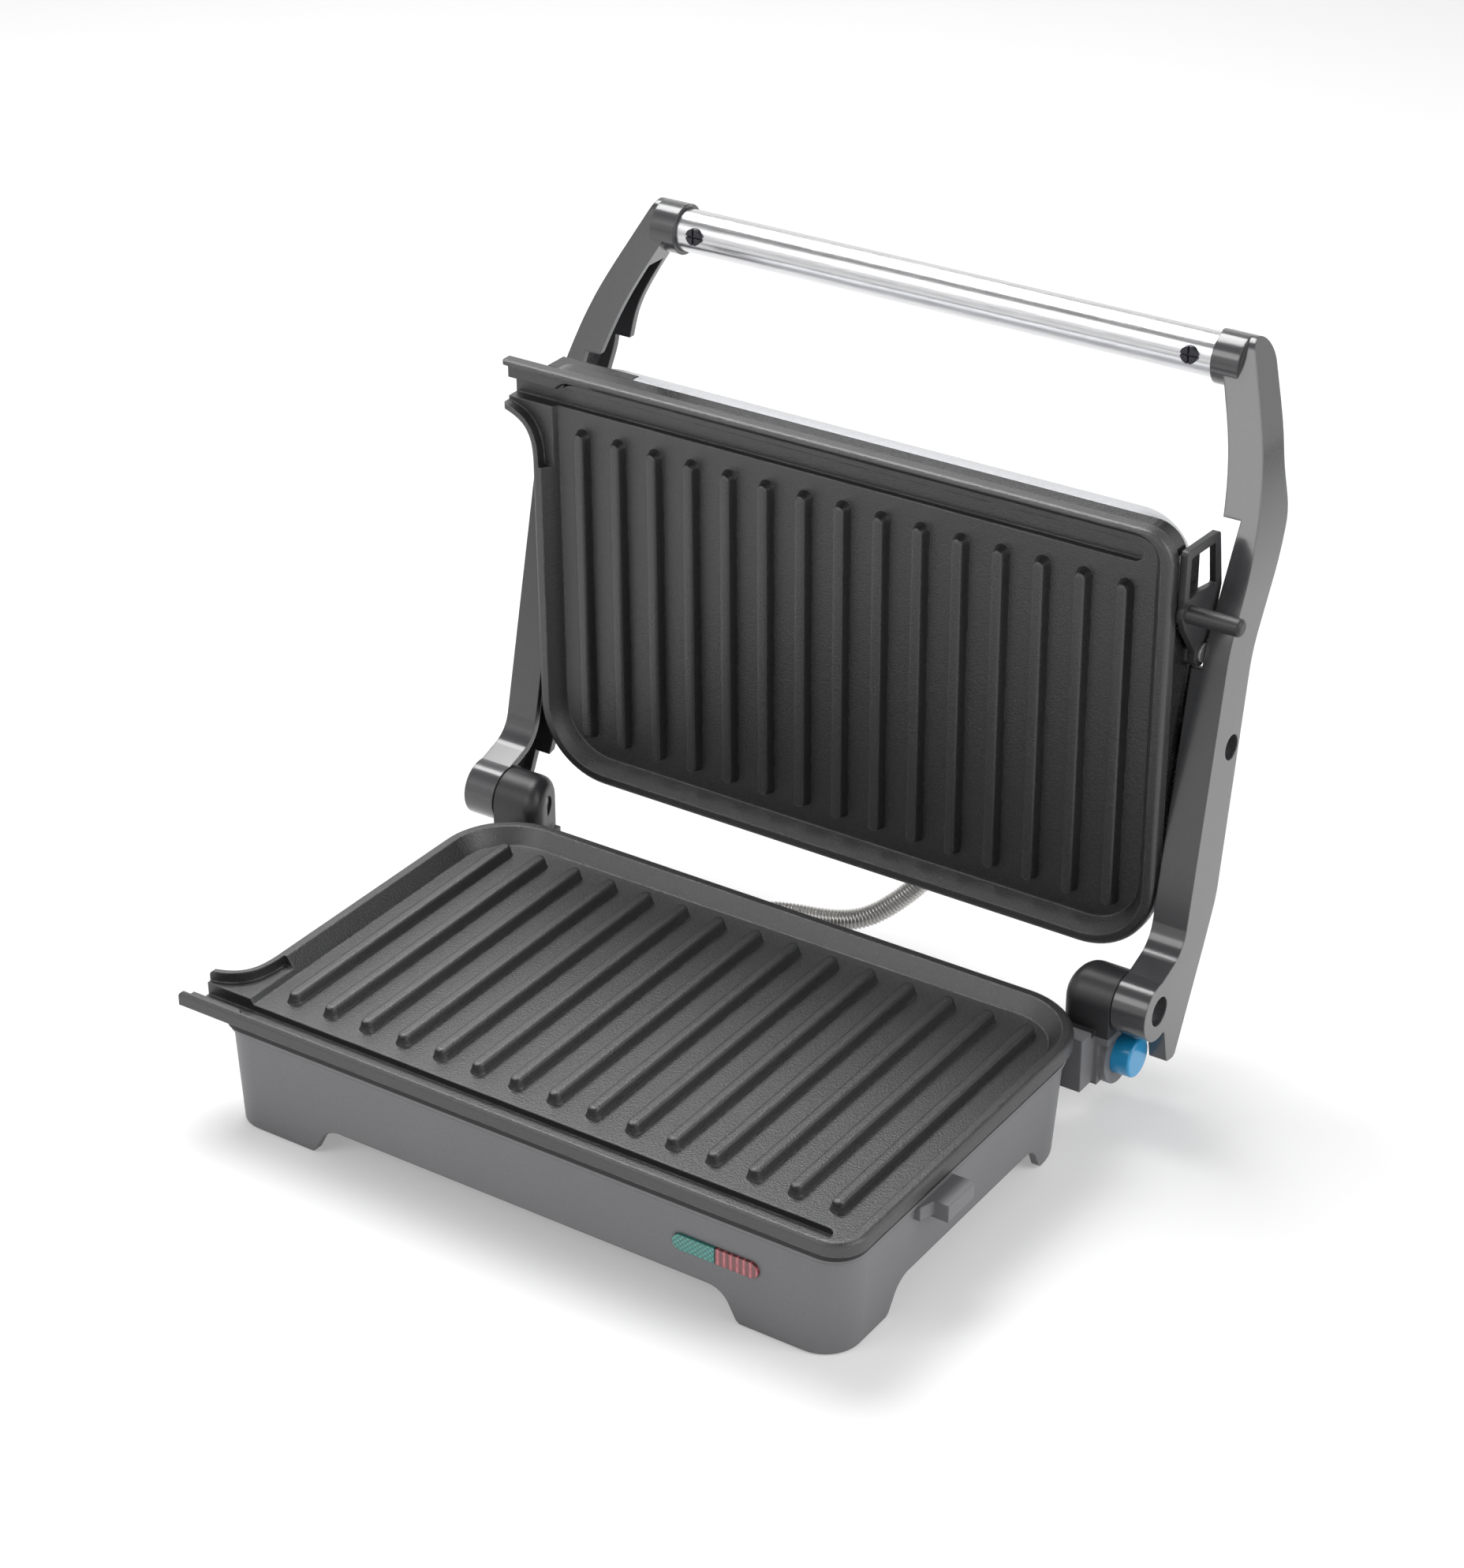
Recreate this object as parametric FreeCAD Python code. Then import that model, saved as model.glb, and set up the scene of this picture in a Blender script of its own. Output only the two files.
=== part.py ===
import FreeCAD, Part
import math
import os

# Panini press, shown open: the lid stands upright on its two arms.
# Millimetres. X runs along the press, +Y is the back, Z = 0 is the worktop.
# Pieces of the lid are drawn as they lie when the press is closed and then turned open.

# ---- grill plates ----
plate_length = 230.0
plate_depth = 145.0
plate_back = 72.0
rim_top = 42.0
rim_height = 4.6
rim_side = 3.6
rim_front = 1.4
rim_slope = 3.8
plate_floor_drop = 5.4
plate_skin = 3.6
skin_inset = 5.0
front_corner = 10.0
back_corner = 25.0
rib_count = 15
rib_pitch = 14.0
rib_height = 3.4
rib_foot = 5.2
rib_crest = 3.2
rib_front_inset = 19.6
rib_back = 58.2
rib_corner_gap = 6.5
gutter_inset = 7.0
gutter_width = 6.4
gutter_depth = 2.4
gutter_end_inset = 12.0
spout_reach = 10.8
spout_mouth = 17.2
spout_blend = 17.0
spout_wall = 2.6
spout_floor = 1.0
rim_round = 1.5
plate_gap = 0.3

# ---- base ----
seal_height = 2.8
seal_inset = 1.4
seal_width = 9.0
wall = 2.4
base_inset = 1.6
wall_taper = 2.8
flange_reach = 0.7
flange_height = 1.4
arch_height = 10.6
foot_front = 31.0
foot_side = 26.0
arch_curve = 8.0
pad_radius = 6.5
pad_height = 2.4
pad_proud = 0.6
cover_thick = 1.6
cover_lift = 0.6
nut_height = 2.0
stud_inset = 19.0
stud_radius = 2.0
ledge_thick = 2.0
cover_gap = 0.4
fit_gap = 0.3
seat_gap = 0.05
screw_radius = 1.5
screw_head = 2.8
screw_head_height = 1.8

# ---- hinge ----
hinge_y = 83.2
hinge_z = 41.0
tower_radius = 9.5
tower_outer_reach = 1.0
tower_round = 4.5
tower_front_inset = 17.6
tower_back_inset = 11.3
drum_radius = 9.7
hinge_pin_radius = 3.5
hinge_pin_fit = 0.05
hinge_head_radius = 4.4
recess_radius = 4.8
pivot_recess_radius = 4.1
recess_depth = 6.0
recess_floor = 2.4

# ---- arms ----
arm_outer_reach = 12.9
arm_inner_reach = 1.4
arm_taper = 1.4
arm_wall = 2.4
arm_top_shift = 18.6
arm_bend_z = 160.0
arm_top_z = 224.0
notch_low = 140.6
notch_high = 181.6
notch_depth = 2.4
bar_y = 162.0
bar_z = 219.6
bar_radius = 7.0
bar_wall = 1.0
bar_end_inset = 19.4
collar_radius = 8.4
plug_length = 16.0
plug_gap = 0.1
handle_screw_inset = 26.0

# ---- lid pivot ----
pivot_open_y = 122.2
pivot_open_z = 114.0
pivot_closed_y = 2.5
pivot_closed_z = 64.9
lid_turn = 89.43
pivot_pin_radius = 3.0
pivot_boss_radius = 6.4

# ---- lid ----
lid_seal_height = 1.0
frame_height = 5.2
frame_inset = 0.6
frame_width = 4.7
shelf_width = 11.5
shelf_rise = 1.9
cheek_height = 8.4
cheek_width = 6.6
cheek_half = 60.0
lid_cover_height = 20.6
lid_cover_inset = 2.6
lid_cover_wall = 1.8
lid_cover_round = 15.5
lid_cover_corner = 19.0
lid_post_height = 8.0
lid_post_radius = 3.4

# ---- latch ----
latch_y = 117.0
latch_z = 145.6
latch_reach = 0.4
latch_thick = 2.2
latch_boss = 4.4
latch_pin_radius = 1.8
latch_pin_fit = 0.05
latch_grip_y = 106.5
latch_grip_z = 162.6
latch_grip_radius = 2.8
latch_grip_length = 20.0
tab_y = -21.75
tab_z = 30.6
tab_width = 14.5
tab_height = 5.6
tab_reach = 7.4

# ---- release button ----
button_y = 84.0
button_z = 21.5
button_radius = 6.5
button_reach = 6.5
guide_reach = 0.2
guide_radius = 10.2
guide_thick = 2.4
relief_angle = 12.0
button_travel = 3.5
button_fit = 0.08
button_stem_radius = 3.0
spring_radius = 4.4
spring_wire = 0.4

# ---- inside ----
lead_radius = 1.1
heater_radius = 3.25
heater_inset = 37.0
heater_half_y = 42.0
heater_turn = 22.0
reflector_thick = 0.8
reflector_gap = 8.0
thermostat_x = 30.0
thermostat_radius = 8.0
thermostat_height = 7.0
lens_x = 69.8
lens_z = 21.6
lens_length = 29.0
lens_height = 5.2
lens_proud = 0.4
lens_collar = 1.2
conduit_radius = 3.5
conduit_bore = 2.3


AX = FreeCAD.Vector(1, 0, 0)
AY = FreeCAD.Vector(0, 1, 0)
AZ = FreeCAD.Vector(0, 0, 1)

plate_front = plate_back - plate_depth
plate_half = plate_length / 2
tower_outer = plate_half + tower_outer_reach
tower_front_inner = plate_half - tower_front_inset
tower_back_inner = plate_half - tower_back_inset
arm_outer = plate_half + arm_outer_reach
arm_inner = plate_half + arm_inner_reach
bar_end = plate_half - bar_end_inset
handle_screw_x = plate_half - handle_screw_inset
latch_x = plate_half + latch_reach
button_face = plate_half + button_reach
guide_face = plate_half + guide_reach
gutter_end = plate_half - gutter_end_inset
stud_x = plate_half - stud_inset
heater_half_x = plate_half - heater_inset
rib_front = plate_front + rib_front_inset
gutter_near = plate_front + gutter_inset
pivot_face = arm_inner - arm_taper * (pivot_open_z - hinge_z) / (arm_bend_z - hinge_z)
plate_floor = rim_top - plate_floor_drop
plate_under = plate_floor - plate_skin
rim_bottom = rim_top - rim_height
housing_top = rim_bottom - seal_height
housing_half = plate_half - base_inset
housing_front = plate_front + base_inset
housing_back = plate_back - base_inset
spout_left = -plate_half - spout_reach
part_line = rim_top + plate_gap / 2
lid_rim = 2 * part_line - rim_bottom
lid_skin = 2 * part_line - plate_under
frame_low = lid_rim + lid_seal_height
frame_high = frame_low + frame_height
cheek_high = frame_high + cheek_height
cover_low = frame_high + seat_gap
shelf_high = frame_high + shelf_rise
lid_screw_seat = lid_skin + screw_head_height + 0.4
cover_high = frame_high + lid_cover_height


def vec(x, y, z):
    return FreeCAD.Vector(x, y, z)


def box(x0, x1, y0, y1, z0, z1):
    return Part.makeBox(x1 - x0, y1 - y0, z1 - z0, vec(x0, y0, z0))


def rod(centre, axis, radius, length):
    return Part.makeCylinder(radius, length, centre, axis)


def tube(centre, axis, outer, inner, length):
    return rod(centre, axis, outer, length).cut(rod(centre, axis, inner, length))


def fuse(shapes):
    solid = shapes[0]
    for shape in shapes[1:]:
        solid = solid.fuse(shape)
    return solid.removeSplitter()


def cut(shape, tools):
    for tool in tools:
        shape = shape.cut(tool)
    return shape


def mirrored(shape):
    return shape.mirror(vec(0, 0, 0), AX)


def pair(shape):
    return [shape, mirrored(shape)]


def rounded(corners, place):
    """Closed wire through corners (a, b, radius), each rounded by an arc."""
    points = [vec(a, b, 0) for a, b, radius in corners]
    edges = []
    starts = []
    ends = []
    for i, (a, b, radius) in enumerate(corners):
        here = points[i]
        before = (points[i - 1] - here).normalize()
        after = (points[(i + 1) % len(points)] - here).normalize()
        if radius <= 0:
            starts.append(here)
            ends.append(here)
            continue
        half = before.getAngle(after) / 2
        run = radius / math.tan(half)
        bisector = (before + after).normalize()
        centre = here + bisector * (radius / math.sin(half))
        start = here + before * run
        end = here + after * run
        middle = centre - bisector * radius
        starts.append(start)
        ends.append(end)
        edges.append((i, Part.Arc(place(start), place(middle), place(end)).toShape()))
    arcs = dict(edges)
    loop = []
    for i in range(len(points)):
        if i in arcs:
            loop.append(arcs[i])
        nxt = (i + 1) % len(points)
        if ends[i].distanceToPoint(starts[nxt]) > 1e-6:
            loop.append(Part.LineSegment(place(ends[i]), place(starts[nxt])).toShape())
    return Part.Wire(Part.__sortEdges__(loop))


def level(z):
    return lambda p: vec(p.x, p.y, z)


def upright(x):
    return lambda p: vec(x, p.x, p.y)


def facing(y):
    return lambda p: vec(p.x, y, p.y)


def rectangle(half_x, front, back, front_round, back_round, z):
    corners = [(-half_x, front, front_round), (half_x, front, front_round),
               (half_x, back, back_round), (-half_x, back, back_round)]
    return rounded(corners, level(z))


def slab(half_x, front, back, front_round, back_round, z0, z1):
    wire = rectangle(half_x, front, back, front_round, back_round, z0)
    return Part.Face(wire).extrude(vec(0, 0, z1 - z0))


def side_prism(corners, x0, x1):
    return Part.Face(rounded(corners, upright(x0))).extrude(vec(x1 - x0, 0, 0))


def open_lid(shape):
    """Turns a piece of the closed lid to where it stands when the press is open."""
    turned = shape.copy()
    turned.rotate(vec(0, pivot_closed_y, pivot_closed_z), AX, -lid_turn)
    turned.translate(vec(0, pivot_open_y - pivot_closed_y, pivot_open_z - pivot_closed_z))
    return turned


def spout_outline(inset, front, z):
    """Plan of the pouring spout: the front rim runs on to the left and the side rim curls out to it."""
    root = -plate_half + inset
    back = plate_front + spout_mouth - inset
    stay = plate_front + spout_mouth + spout_blend
    start = vec(root, stay, z)
    end = vec(spout_left, back, z)
    curl = Part.BezierCurve()
    curl.setPoles([start, vec(root, stay - spout_reach, z), vec(root - rim_round * 1.6, back + rim_side * 0.7, z), end])
    inner = root + front_corner * 2
    corners = [end, vec(spout_left, front, z), vec(inner, front, z), vec(inner, stay, z), start]
    edges = [curl.toShape()]
    for a, b in zip(corners[:-1], corners[1:]):
        edges.append(Part.LineSegment(a, b).toShape())
    return Part.Wire(Part.__sortEdges__(edges))


def rib(x):
    """One raised rib, tapered, with round ends."""
    inner = plate_half - rim_side - rim_slope
    arc_x = plate_half - back_corner
    arc_y = plate_back - back_corner
    reach = inner - arc_x - rib_corner_gap + rib_foot
    back = rib_back
    if abs(x) > arc_x:
        back = min(rib_back, arc_y + math.sqrt(max(0.0, reach ** 2 - (abs(x) - arc_x) ** 2)) - rib_foot)
    low = rectangle_at(x, rib_foot / 2, rib_front, back, plate_floor - 0.3)
    high = rectangle_at(x, rib_crest / 2, rib_front + 0.8, back - 0.8, plate_floor + rib_height)
    return Part.makeLoft([low, high], True, True)


def rectangle_at(x, half, front, back, z):
    limit = half * 0.999
    corners = [(x - half, front, limit), (x + half, front, limit),
               (x + half, back, limit), (x - half, back, limit)]
    return rounded(corners, level(z))


def grill_plate():
    """Cast plate: rim with a spout, sloped inner side, ribs and a fat gutter along the front."""
    outline = slab(plate_half, plate_front, plate_back, front_corner, back_corner, rim_bottom, rim_top)
    spout = Part.Face(spout_outline(0, plate_front, rim_bottom)).extrude(vec(0, 0, rim_height))
    outline = fuse([outline, spout])
    brim = [e for e in outline.Edges if e.BoundBox.ZMin > rim_top - 0.01]
    outline = outline.makeFillet(rim_round, brim)
    skin = slab(plate_half - skin_inset, plate_front + skin_inset, plate_back - skin_inset,
                front_corner, back_corner - skin_inset + 2, plate_under, rim_top - 2)
    deep = rim_side + rim_slope
    low = rectangle(plate_half - deep, plate_front + rim_front + rim_slope, plate_back - deep,
                    front_corner * 0.6, back_corner - deep, plate_floor)
    high = rectangle(plate_half - rim_side, plate_front + rim_front, plate_back - rim_side,
                     front_corner * 0.9, back_corner - rim_side, rim_top + 0.01)
    cavity = Part.makeLoft([low, high], True, True)
    gutter_floor = plate_floor - gutter_depth
    far = gutter_near + gutter_width
    trough = rounded([(spout_left - 1, gutter_near, 0), (gutter_end, gutter_near, gutter_width * 0.49),
                      (gutter_end, far, gutter_width * 0.49), (spout_left - 1, far, 0)], level(gutter_floor))
    gutter = Part.Face(trough).extrude(vec(0, 0, rim_top - gutter_floor))
    mouth = Part.Face(spout_outline(spout_wall, plate_front + rim_front, rim_bottom + spout_floor))
    mouth = mouth.extrude(vec(0, 0, rim_height + gutter_depth))
    trough_skin = box(-plate_half + skin_inset + 2, gutter_end + 3, gutter_near - 1.6, far + 1.6,
                      plate_under - 1.4, plate_floor)
    spout_skin = box(spout_left, -plate_half + skin_inset + 3, gutter_near - 1.6, far + 1.6,
                     gutter_floor - 1.4, rim_bottom + 0.5)
    trough_skin = trough_skin.common(slab(plate_half - skin_inset, plate_front + skin_inset, plate_back,
                                          front_corner, back_corner, 0, rim_top))
    body = cut(fuse([outline, skin, trough_skin, spout_skin]), [cavity, mouth, gutter])
    ribs = [rib((i - (rib_count - 1) / 2) * rib_pitch) for i in range(rib_count)]
    return fuse([body] + ribs)


def arch_cutter(half_width, along, across0, across1, centre=0.0):
    """Opening between two feet, with curled ends, cut through the walls along one direction."""
    side = half_width
    corners = [(centre - side, -1, 0), (centre + side, -1, 0), (centre + side - arch_curve * 0.4, 1.5, 2),
               (centre + side - arch_curve, arch_height, arch_curve),
               (centre - side + arch_curve, arch_height, arch_curve), (centre - side + arch_curve * 0.4, 1.5, 2)]
    if along == "x":
        face = Part.Face(rounded(corners, facing(across0)))
        return face.extrude(vec(0, across1 - across0, 0))
    face = Part.Face(rounded(corners, upright(across0)))
    return face.extrude(vec(across1 - across0, 0, 0))


def housing_shell():
    foot_z = pad_proud
    low_half = housing_half - wall_taper
    low_front = housing_front + 0.6
    low_back = housing_back - wall_taper
    corner = front_corner + 1.5
    back = back_corner - base_inset
    outer = Part.makeLoft([rectangle(low_half, low_front, low_back, corner, back - 1, foot_z),
                           rectangle(housing_half - flange_reach, housing_front + flange_reach,
                                     housing_back - flange_reach, corner, back, housing_top)], True, True)
    flange = slab(housing_half, housing_front, housing_back, corner, back,
                  housing_top - flange_height, housing_top)
    inner = Part.makeLoft([rectangle(low_half - wall, low_front + wall, low_back - wall,
                                     corner - wall, back - 1 - wall, foot_z - 0.01),
                           rectangle(housing_half - flange_reach - wall, housing_front + flange_reach + wall,
                                     housing_back - flange_reach - wall, corner - wall, back - wall,
                                     housing_top + 0.01)], True, True)
    return outer.fuse(flange).cut(inner)


def foot_floors():
    """Small floors inside the four feet, each with a seat for its rubber pad."""
    floors = []
    for x, y in foot_centres():
        floors.append(rod(vec(x, y, pad_height - 0.2), AZ, pad_radius + 4.6, 1.8))
        floors.append(tube(vec(x, y, pad_proud), AZ, pad_radius + 1.8, pad_radius + fit_gap,
                           pad_height - pad_proud))
    return floors


def foot_centres():
    x = housing_half - wall_taper - wall - pad_radius - 3.0
    front = housing_front + wall + pad_radius + 3.2
    back = housing_back - wall_taper - wall - pad_radius - 7.5
    return [(-x, front), (x, front), (-x + 3.6, back + 1.4), (x - 3.6, back + 1.4)]


def cover_screw_places():
    near = housing_front + 22
    far = housing_back - 26
    return [(-45.0, near), (45.0, near), (-79.0, far), (79.0, far)]


def hinge_post():
    """Right hinge tower: a post behind the base, round on top, its inner side slanted and softened."""
    start = tower_front_inner - 2
    drum = rod(vec(start, hinge_y, hinge_z), AX, tower_radius, tower_outer - start)
    post = box(start, tower_outer, hinge_y - tower_radius, hinge_y + tower_radius, hinge_z - 12, hinge_z)
    near = hinge_y - tower_radius - 1
    far = hinge_y + tower_radius + 1
    plan = [(tower_front_inner, near, 0), (tower_outer, near, 0), (tower_outer, far, 0),
            (tower_back_inner, far, 0)]
    keep = Part.Face(rounded(plan, level(0))).extrude(vec(0, 0, 80))
    tower = drum.fuse(post).removeSplitter().common(keep)
    slant = [e for e in tower.Edges if e.BoundBox.XMax < tower_back_inner + 0.2
             and e.BoundBox.ZMax > hinge_z + 1]
    tower = tower.makeFillet(tower_round, slant)
    stem = box(tower_back_inner - 3, guide_face - guide_thick, hinge_y - tower_radius, hinge_y + 7,
               button_z - guide_radius + 3, hinge_z - 11)
    bridge = box(tower_front_inner + 1, guide_face - guide_thick - 1.5, housing_back - 4.6,
                 hinge_y - tower_radius + 2, button_z - guide_radius + 4, housing_top - 1)
    guide = rod(vec(guide_face - guide_thick, button_y, button_z), AX, guide_radius, guide_thick)
    sleeve = rod(vec(tower_back_inner - 3, button_y, button_z), AX, button_radius + 2.4,
                 guide_face - tower_back_inner)
    return fuse([tower, stem, bridge, guide, sleeve])


def post_bores(side):
    bore = rod(vec(tower_front_inner + 3, hinge_y, hinge_z), AX, hinge_pin_radius, 40)
    tools = [bore]
    if side > 0:
        depth = guide_face - tower_back_inner + 1.5
        tools.append(rod(vec(tower_back_inner - 1.5, button_y, button_z), AX,
                         button_radius + button_fit, depth + 1))
    else:
        tools = [mirrored(tool) for tool in tools]
    return tools


def lens_window(grow, y0, y1):
    half = lens_length / 2 + grow
    high = lens_height / 2 + grow
    corners = [(lens_x - half, lens_z - high, high * 0.99), (lens_x + half, lens_z - high, high * 0.99),
               (lens_x + half, lens_z + high, high * 0.99), (lens_x - half, lens_z + high, high * 0.99)]
    return Part.Face(rounded(corners, facing(y0))).extrude(vec(0, y1 - y0, 0))


def catch_tab():
    """Tab on the right side that the latch hooks over, with a small gusset."""
    wall_x = housing_half - 3.2
    low = tab_z - tab_height / 2
    tip = housing_half + tab_reach
    block = box(wall_x, tip, tab_y - tab_width / 2, tab_y + tab_width / 2, low, low + tab_height)
    plan = [(wall_x, tab_y - tab_width / 2 - 5, 0), (housing_half + 1, tab_y - tab_width / 2 - 5, 0),
            (housing_half + 3, tab_y - tab_width / 2 + 1, 0), (wall_x, tab_y - tab_width / 2 + 1, 0)]
    gusset = Part.Face(rounded(plan, level(low + 1))).extrude(vec(0, 0, tab_height - 1))
    return [block, gusset]


def gland_place():
    return vec(62.0, housing_back - 1.5, 22.0)


def conduit_exit():
    return vec(-20.0, housing_back - 1.1, 27.0)


def base_housing():
    shell = housing_shell()
    front_half = housing_half - wall_taper - foot_front
    shell = shell.cut(arch_cutter(front_half, "x", housing_front - 5, housing_back + 5))
    side_half = plate_depth / 2 - foot_side
    middle = (housing_front + housing_back) / 2
    shell = shell.cut(arch_cutter(side_half, "y", -housing_half - 5, housing_half + 5, middle))
    cover_top = arch_height + cover_lift + cover_thick + seat_gap
    bosses = []
    boss_top = plate_under - reflector_gap - reflector_thick - 0.5
    for x, y in cover_screw_places():
        bosses.append(rod(vec(x, y, cover_top), AZ, 3.6, boss_top - cover_top))
        near, far = (y, housing_back - wall) if y > 0 else (housing_front + wall, y)
        bosses.append(box(x - 1, x + 1, near, far, cover_top + 1, boss_top))
    ledge = slab(housing_half - wall - 0.6, housing_front + wall + 0.2, housing_back - wall - 0.6,
                 front_corner, back_corner - 5, cover_top, cover_top + ledge_thick)
    ledge = ledge.cut(slab(housing_half - wall - 5, housing_front + wall + 5, housing_back - wall - 5,
                           front_corner, back_corner - 8, cover_top - 1, cover_top + ledge_thick + 1))
    post = hinge_post()
    body = fuse([shell, ledge, post, mirrored(post)] + bosses + foot_floors() + catch_tab())
    tools = post_bores(1) + post_bores(-1)
    tools.append(lens_window(seat_gap, housing_front - 3, housing_front + 8))
    tools.append(rod(gland_place() + vec(0, -8, 0), AY, 5.2, 12))
    tools.append(rod(conduit_exit() + vec(0, -8, 0), AY, conduit_radius + 1.2, 12))
    tools.append(spout_notch(housing_top))
    for x, y in cover_screw_places():
        tools.append(rod(vec(x, y, arch_height), AZ, screw_radius, 14))
    return cut(body, tools)


def spout_notch(top):
    """Cut in the left wall for the trough of the spout."""
    low = plate_floor - gutter_depth - 1.4 - fit_gap
    return box(spout_left, -plate_half + skin_inset + 4, gutter_near - 1.6 - fit_gap,
               gutter_near + gutter_width + 1.6 + fit_gap, low, top + 1)


def base_seal():
    """Black heat-resisting strip between the housing and the rim of the lower plate."""
    outer = slab(plate_half - seal_inset, plate_front + seal_inset, plate_back - seal_inset,
                 front_corner, back_corner - seal_inset, housing_top + seat_gap, rim_bottom - seat_gap)
    hole = slab(plate_half - seal_inset - 3.2, plate_front + seal_inset + 3.2, plate_back - seal_inset - 3.2,
                front_corner - 1, back_corner - seal_inset - 3.2, 0, rim_top)
    return outer.cut(hole).cut(spout_notch(rim_top))


def base_bottom_cover():
    low = arch_height + cover_lift
    lift = wall_taper * low / housing_top
    half = housing_half - wall_taper + lift - wall - cover_gap - 0.6
    front = housing_front + 0.6 + wall + cover_gap
    back = housing_back - wall_taper + lift - wall - cover_gap - 0.6
    plate = slab(half, front, back, front_corner, back_corner - 5, low, low + cover_thick)
    tools = []
    for x, y in cover_screw_places():
        tools.append(rod(vec(x, y, 0), AZ, screw_radius + 0.2, 40))
    for row in range(3):
        for column in range(9):
            x = (column - 4) * 12.0
            y = (row - 1) * 26.0
            tools.append(box(x - 4, x + 4, y - 1.2, y + 1.2, low - 1, low + cover_thick + 1))
    for x, y in foot_centres():
        tools.append(rod(vec(x, y, 0), AZ, pad_radius + 5.2, 60))
    return cut(plate, tools)


def foot_pads():
    return [rod(vec(x, y, 0), AZ, pad_radius, pad_height - 0.2 - seat_gap) for x, y in foot_centres()]


def screw(place, axis, length, head_radius=screw_head, radius=screw_radius):
    """Pan-head screw: head at place, shank running along axis."""
    head = rod(place - axis * screw_head_height, axis, head_radius, screw_head_height)
    slot = box(-head_radius, head_radius, -0.3, 0.3, -0.3, 0.8)
    shank = rod(place - axis * 0.1, axis, radius, length + 0.1)
    body = head.fuse(shank)
    turn = FreeCAD.Rotation(AZ, axis)
    for k in range(2):
        cross = slot.copy()
        cross.rotate(vec(0, 0, 0), AZ, 90 * k)
        cross.Placement = FreeCAD.Placement(place - axis * screw_head_height, turn).multiply(cross.Placement)
        body = body.cut(cross)
    return body


def cover_screws():
    low = arch_height + cover_lift
    return [screw(vec(x, y, low - seat_gap), AZ, 10, radius=screw_radius - 0.05) for x, y in cover_screw_places()]


def route(points, radius):
    """Straight runs joined by tangent arcs; returns the wire."""
    edges = []
    last = points[0]
    for i in range(1, len(points) - 1):
        here = points[i]
        back = (points[i - 1] - here).normalize()
        ahead = (points[i + 1] - here).normalize()
        half = back.getAngle(ahead) / 2
        run = radius[i - 1] / math.tan(half)
        bisector = (back + ahead).normalize()
        centre = here + bisector * (radius[i - 1] / math.sin(half))
        start = here + back * run
        end = here + ahead * run
        edges.append(Part.LineSegment(last, start).toShape())
        edges.append(Part.Arc(start, centre - bisector * radius[i - 1], end).toShape())
        last = end
    edges.append(Part.LineSegment(last, points[-1]).toShape())
    return Part.Wire(edges)


def pipe(points, radius, thick):
    wire = route(points, radius)
    start = points[0]
    heading = (points[1] - points[0]).normalize()
    circle = Part.Wire(Part.Circle(start, heading, thick).toShape())
    return wire.makePipeShell([circle], True, False)


def heating_element(z):
    """Tubular heater bent into a long loop, both ends brought out at the back."""
    x = heater_half_x
    y = heater_half_y
    points = [vec(-14, y + 12, z), vec(-14, y, z), vec(-x, y, z), vec(-x, -y, z), vec(x, -y, z),
              vec(x, y, z), vec(14, y, z), vec(14, y + 12, z)]
    turns = [7, heater_turn, heater_turn, heater_turn, heater_turn, 7]
    loop = pipe(points, turns, heater_radius)
    tails = [rod(vec(side * 14, y + 12 - 0.05, z), AY, 1.2, 6) for side in (-1, 1)]
    return fuse([loop] + tails)


def heat_reflector(z, up):
    """Shallow tray of thin sheet behind the heater, its rim against the plate."""
    half = plate_half - 13
    front = plate_front + 24.7
    back = plate_back - 13.7
    t = reflector_thick
    deep = reflector_gap + t - seat_gap
    low = z if up > 0 else z - deep
    tray = slab(half, front, back, front_corner, 14, low, low + deep)
    lift = t if up > 0 else -t
    hollow = slab(half - t, front + t, back - t, front_corner - t, 14 - t, low + lift, low + deep + lift)
    tools = [hollow, box(-24, 24, back - 4, back + 2, low - 1, low + deep + 1),
             box(thermostat_x - thermostat_radius - 5.5, thermostat_x + thermostat_radius + 5.5,
                 -thermostat_radius - 0.5, thermostat_radius + 0.5, low - 1, low + deep + 1)]
    for x in (-stud_x, stud_x):
        tools.append(rod(vec(x, 0, low - 1), AZ, stud_radius + 0.5, deep + 2))
    return cut(tray, tools)


def thermostat(x, y, z, up):
    """Disc thermostat held against the back of a plate by a small bracket."""
    axis = vec(0, 0, -up)
    body = rod(vec(x, y, z), axis, thermostat_radius, thermostat_height)
    cap = rod(vec(x, y, z) + axis * thermostat_height, axis, thermostat_radius - 2.5, 2.2)
    blades = [box(x + s * 4.5 - 0.4, x + s * 4.5 + 0.4, y - 2.2, y + 2.2,
                  min(z, z - up * (thermostat_height + 6)), max(z, z - up * (thermostat_height + 6)))
              for s in (-1, 1)]
    ears = box(x - thermostat_radius - 5, x + thermostat_radius + 5, y - 3, y + 3,
               min(z - up * 1.2, z), max(z - up * 1.2, z))
    return fuse([body, cap, ears] + blades)


def hinge_pins():
    """Shouldered pins from the recess of each arm into its tower."""
    seat = arm_outer - recess_depth + seat_gap
    head = rod(vec(seat, hinge_y, hinge_z), AX, hinge_head_radius, 2.2)
    start = tower_front_inner + 5
    shank = rod(vec(start, hinge_y, hinge_z), AX, hinge_pin_radius - hinge_pin_fit, seat - start + 0.1)
    pin = head.fuse(shank)
    for k in range(2):
        slot = box(seat + 1.3, seat + 3, -2.6, 2.6, -0.5, 0.5)
        slot.rotate(vec(0, 0, 0), AX, 90 * k + 20)
        slot.translate(vec(0, hinge_y, hinge_z))
        pin = pin.cut(slot)
    return pair(pin)


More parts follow.
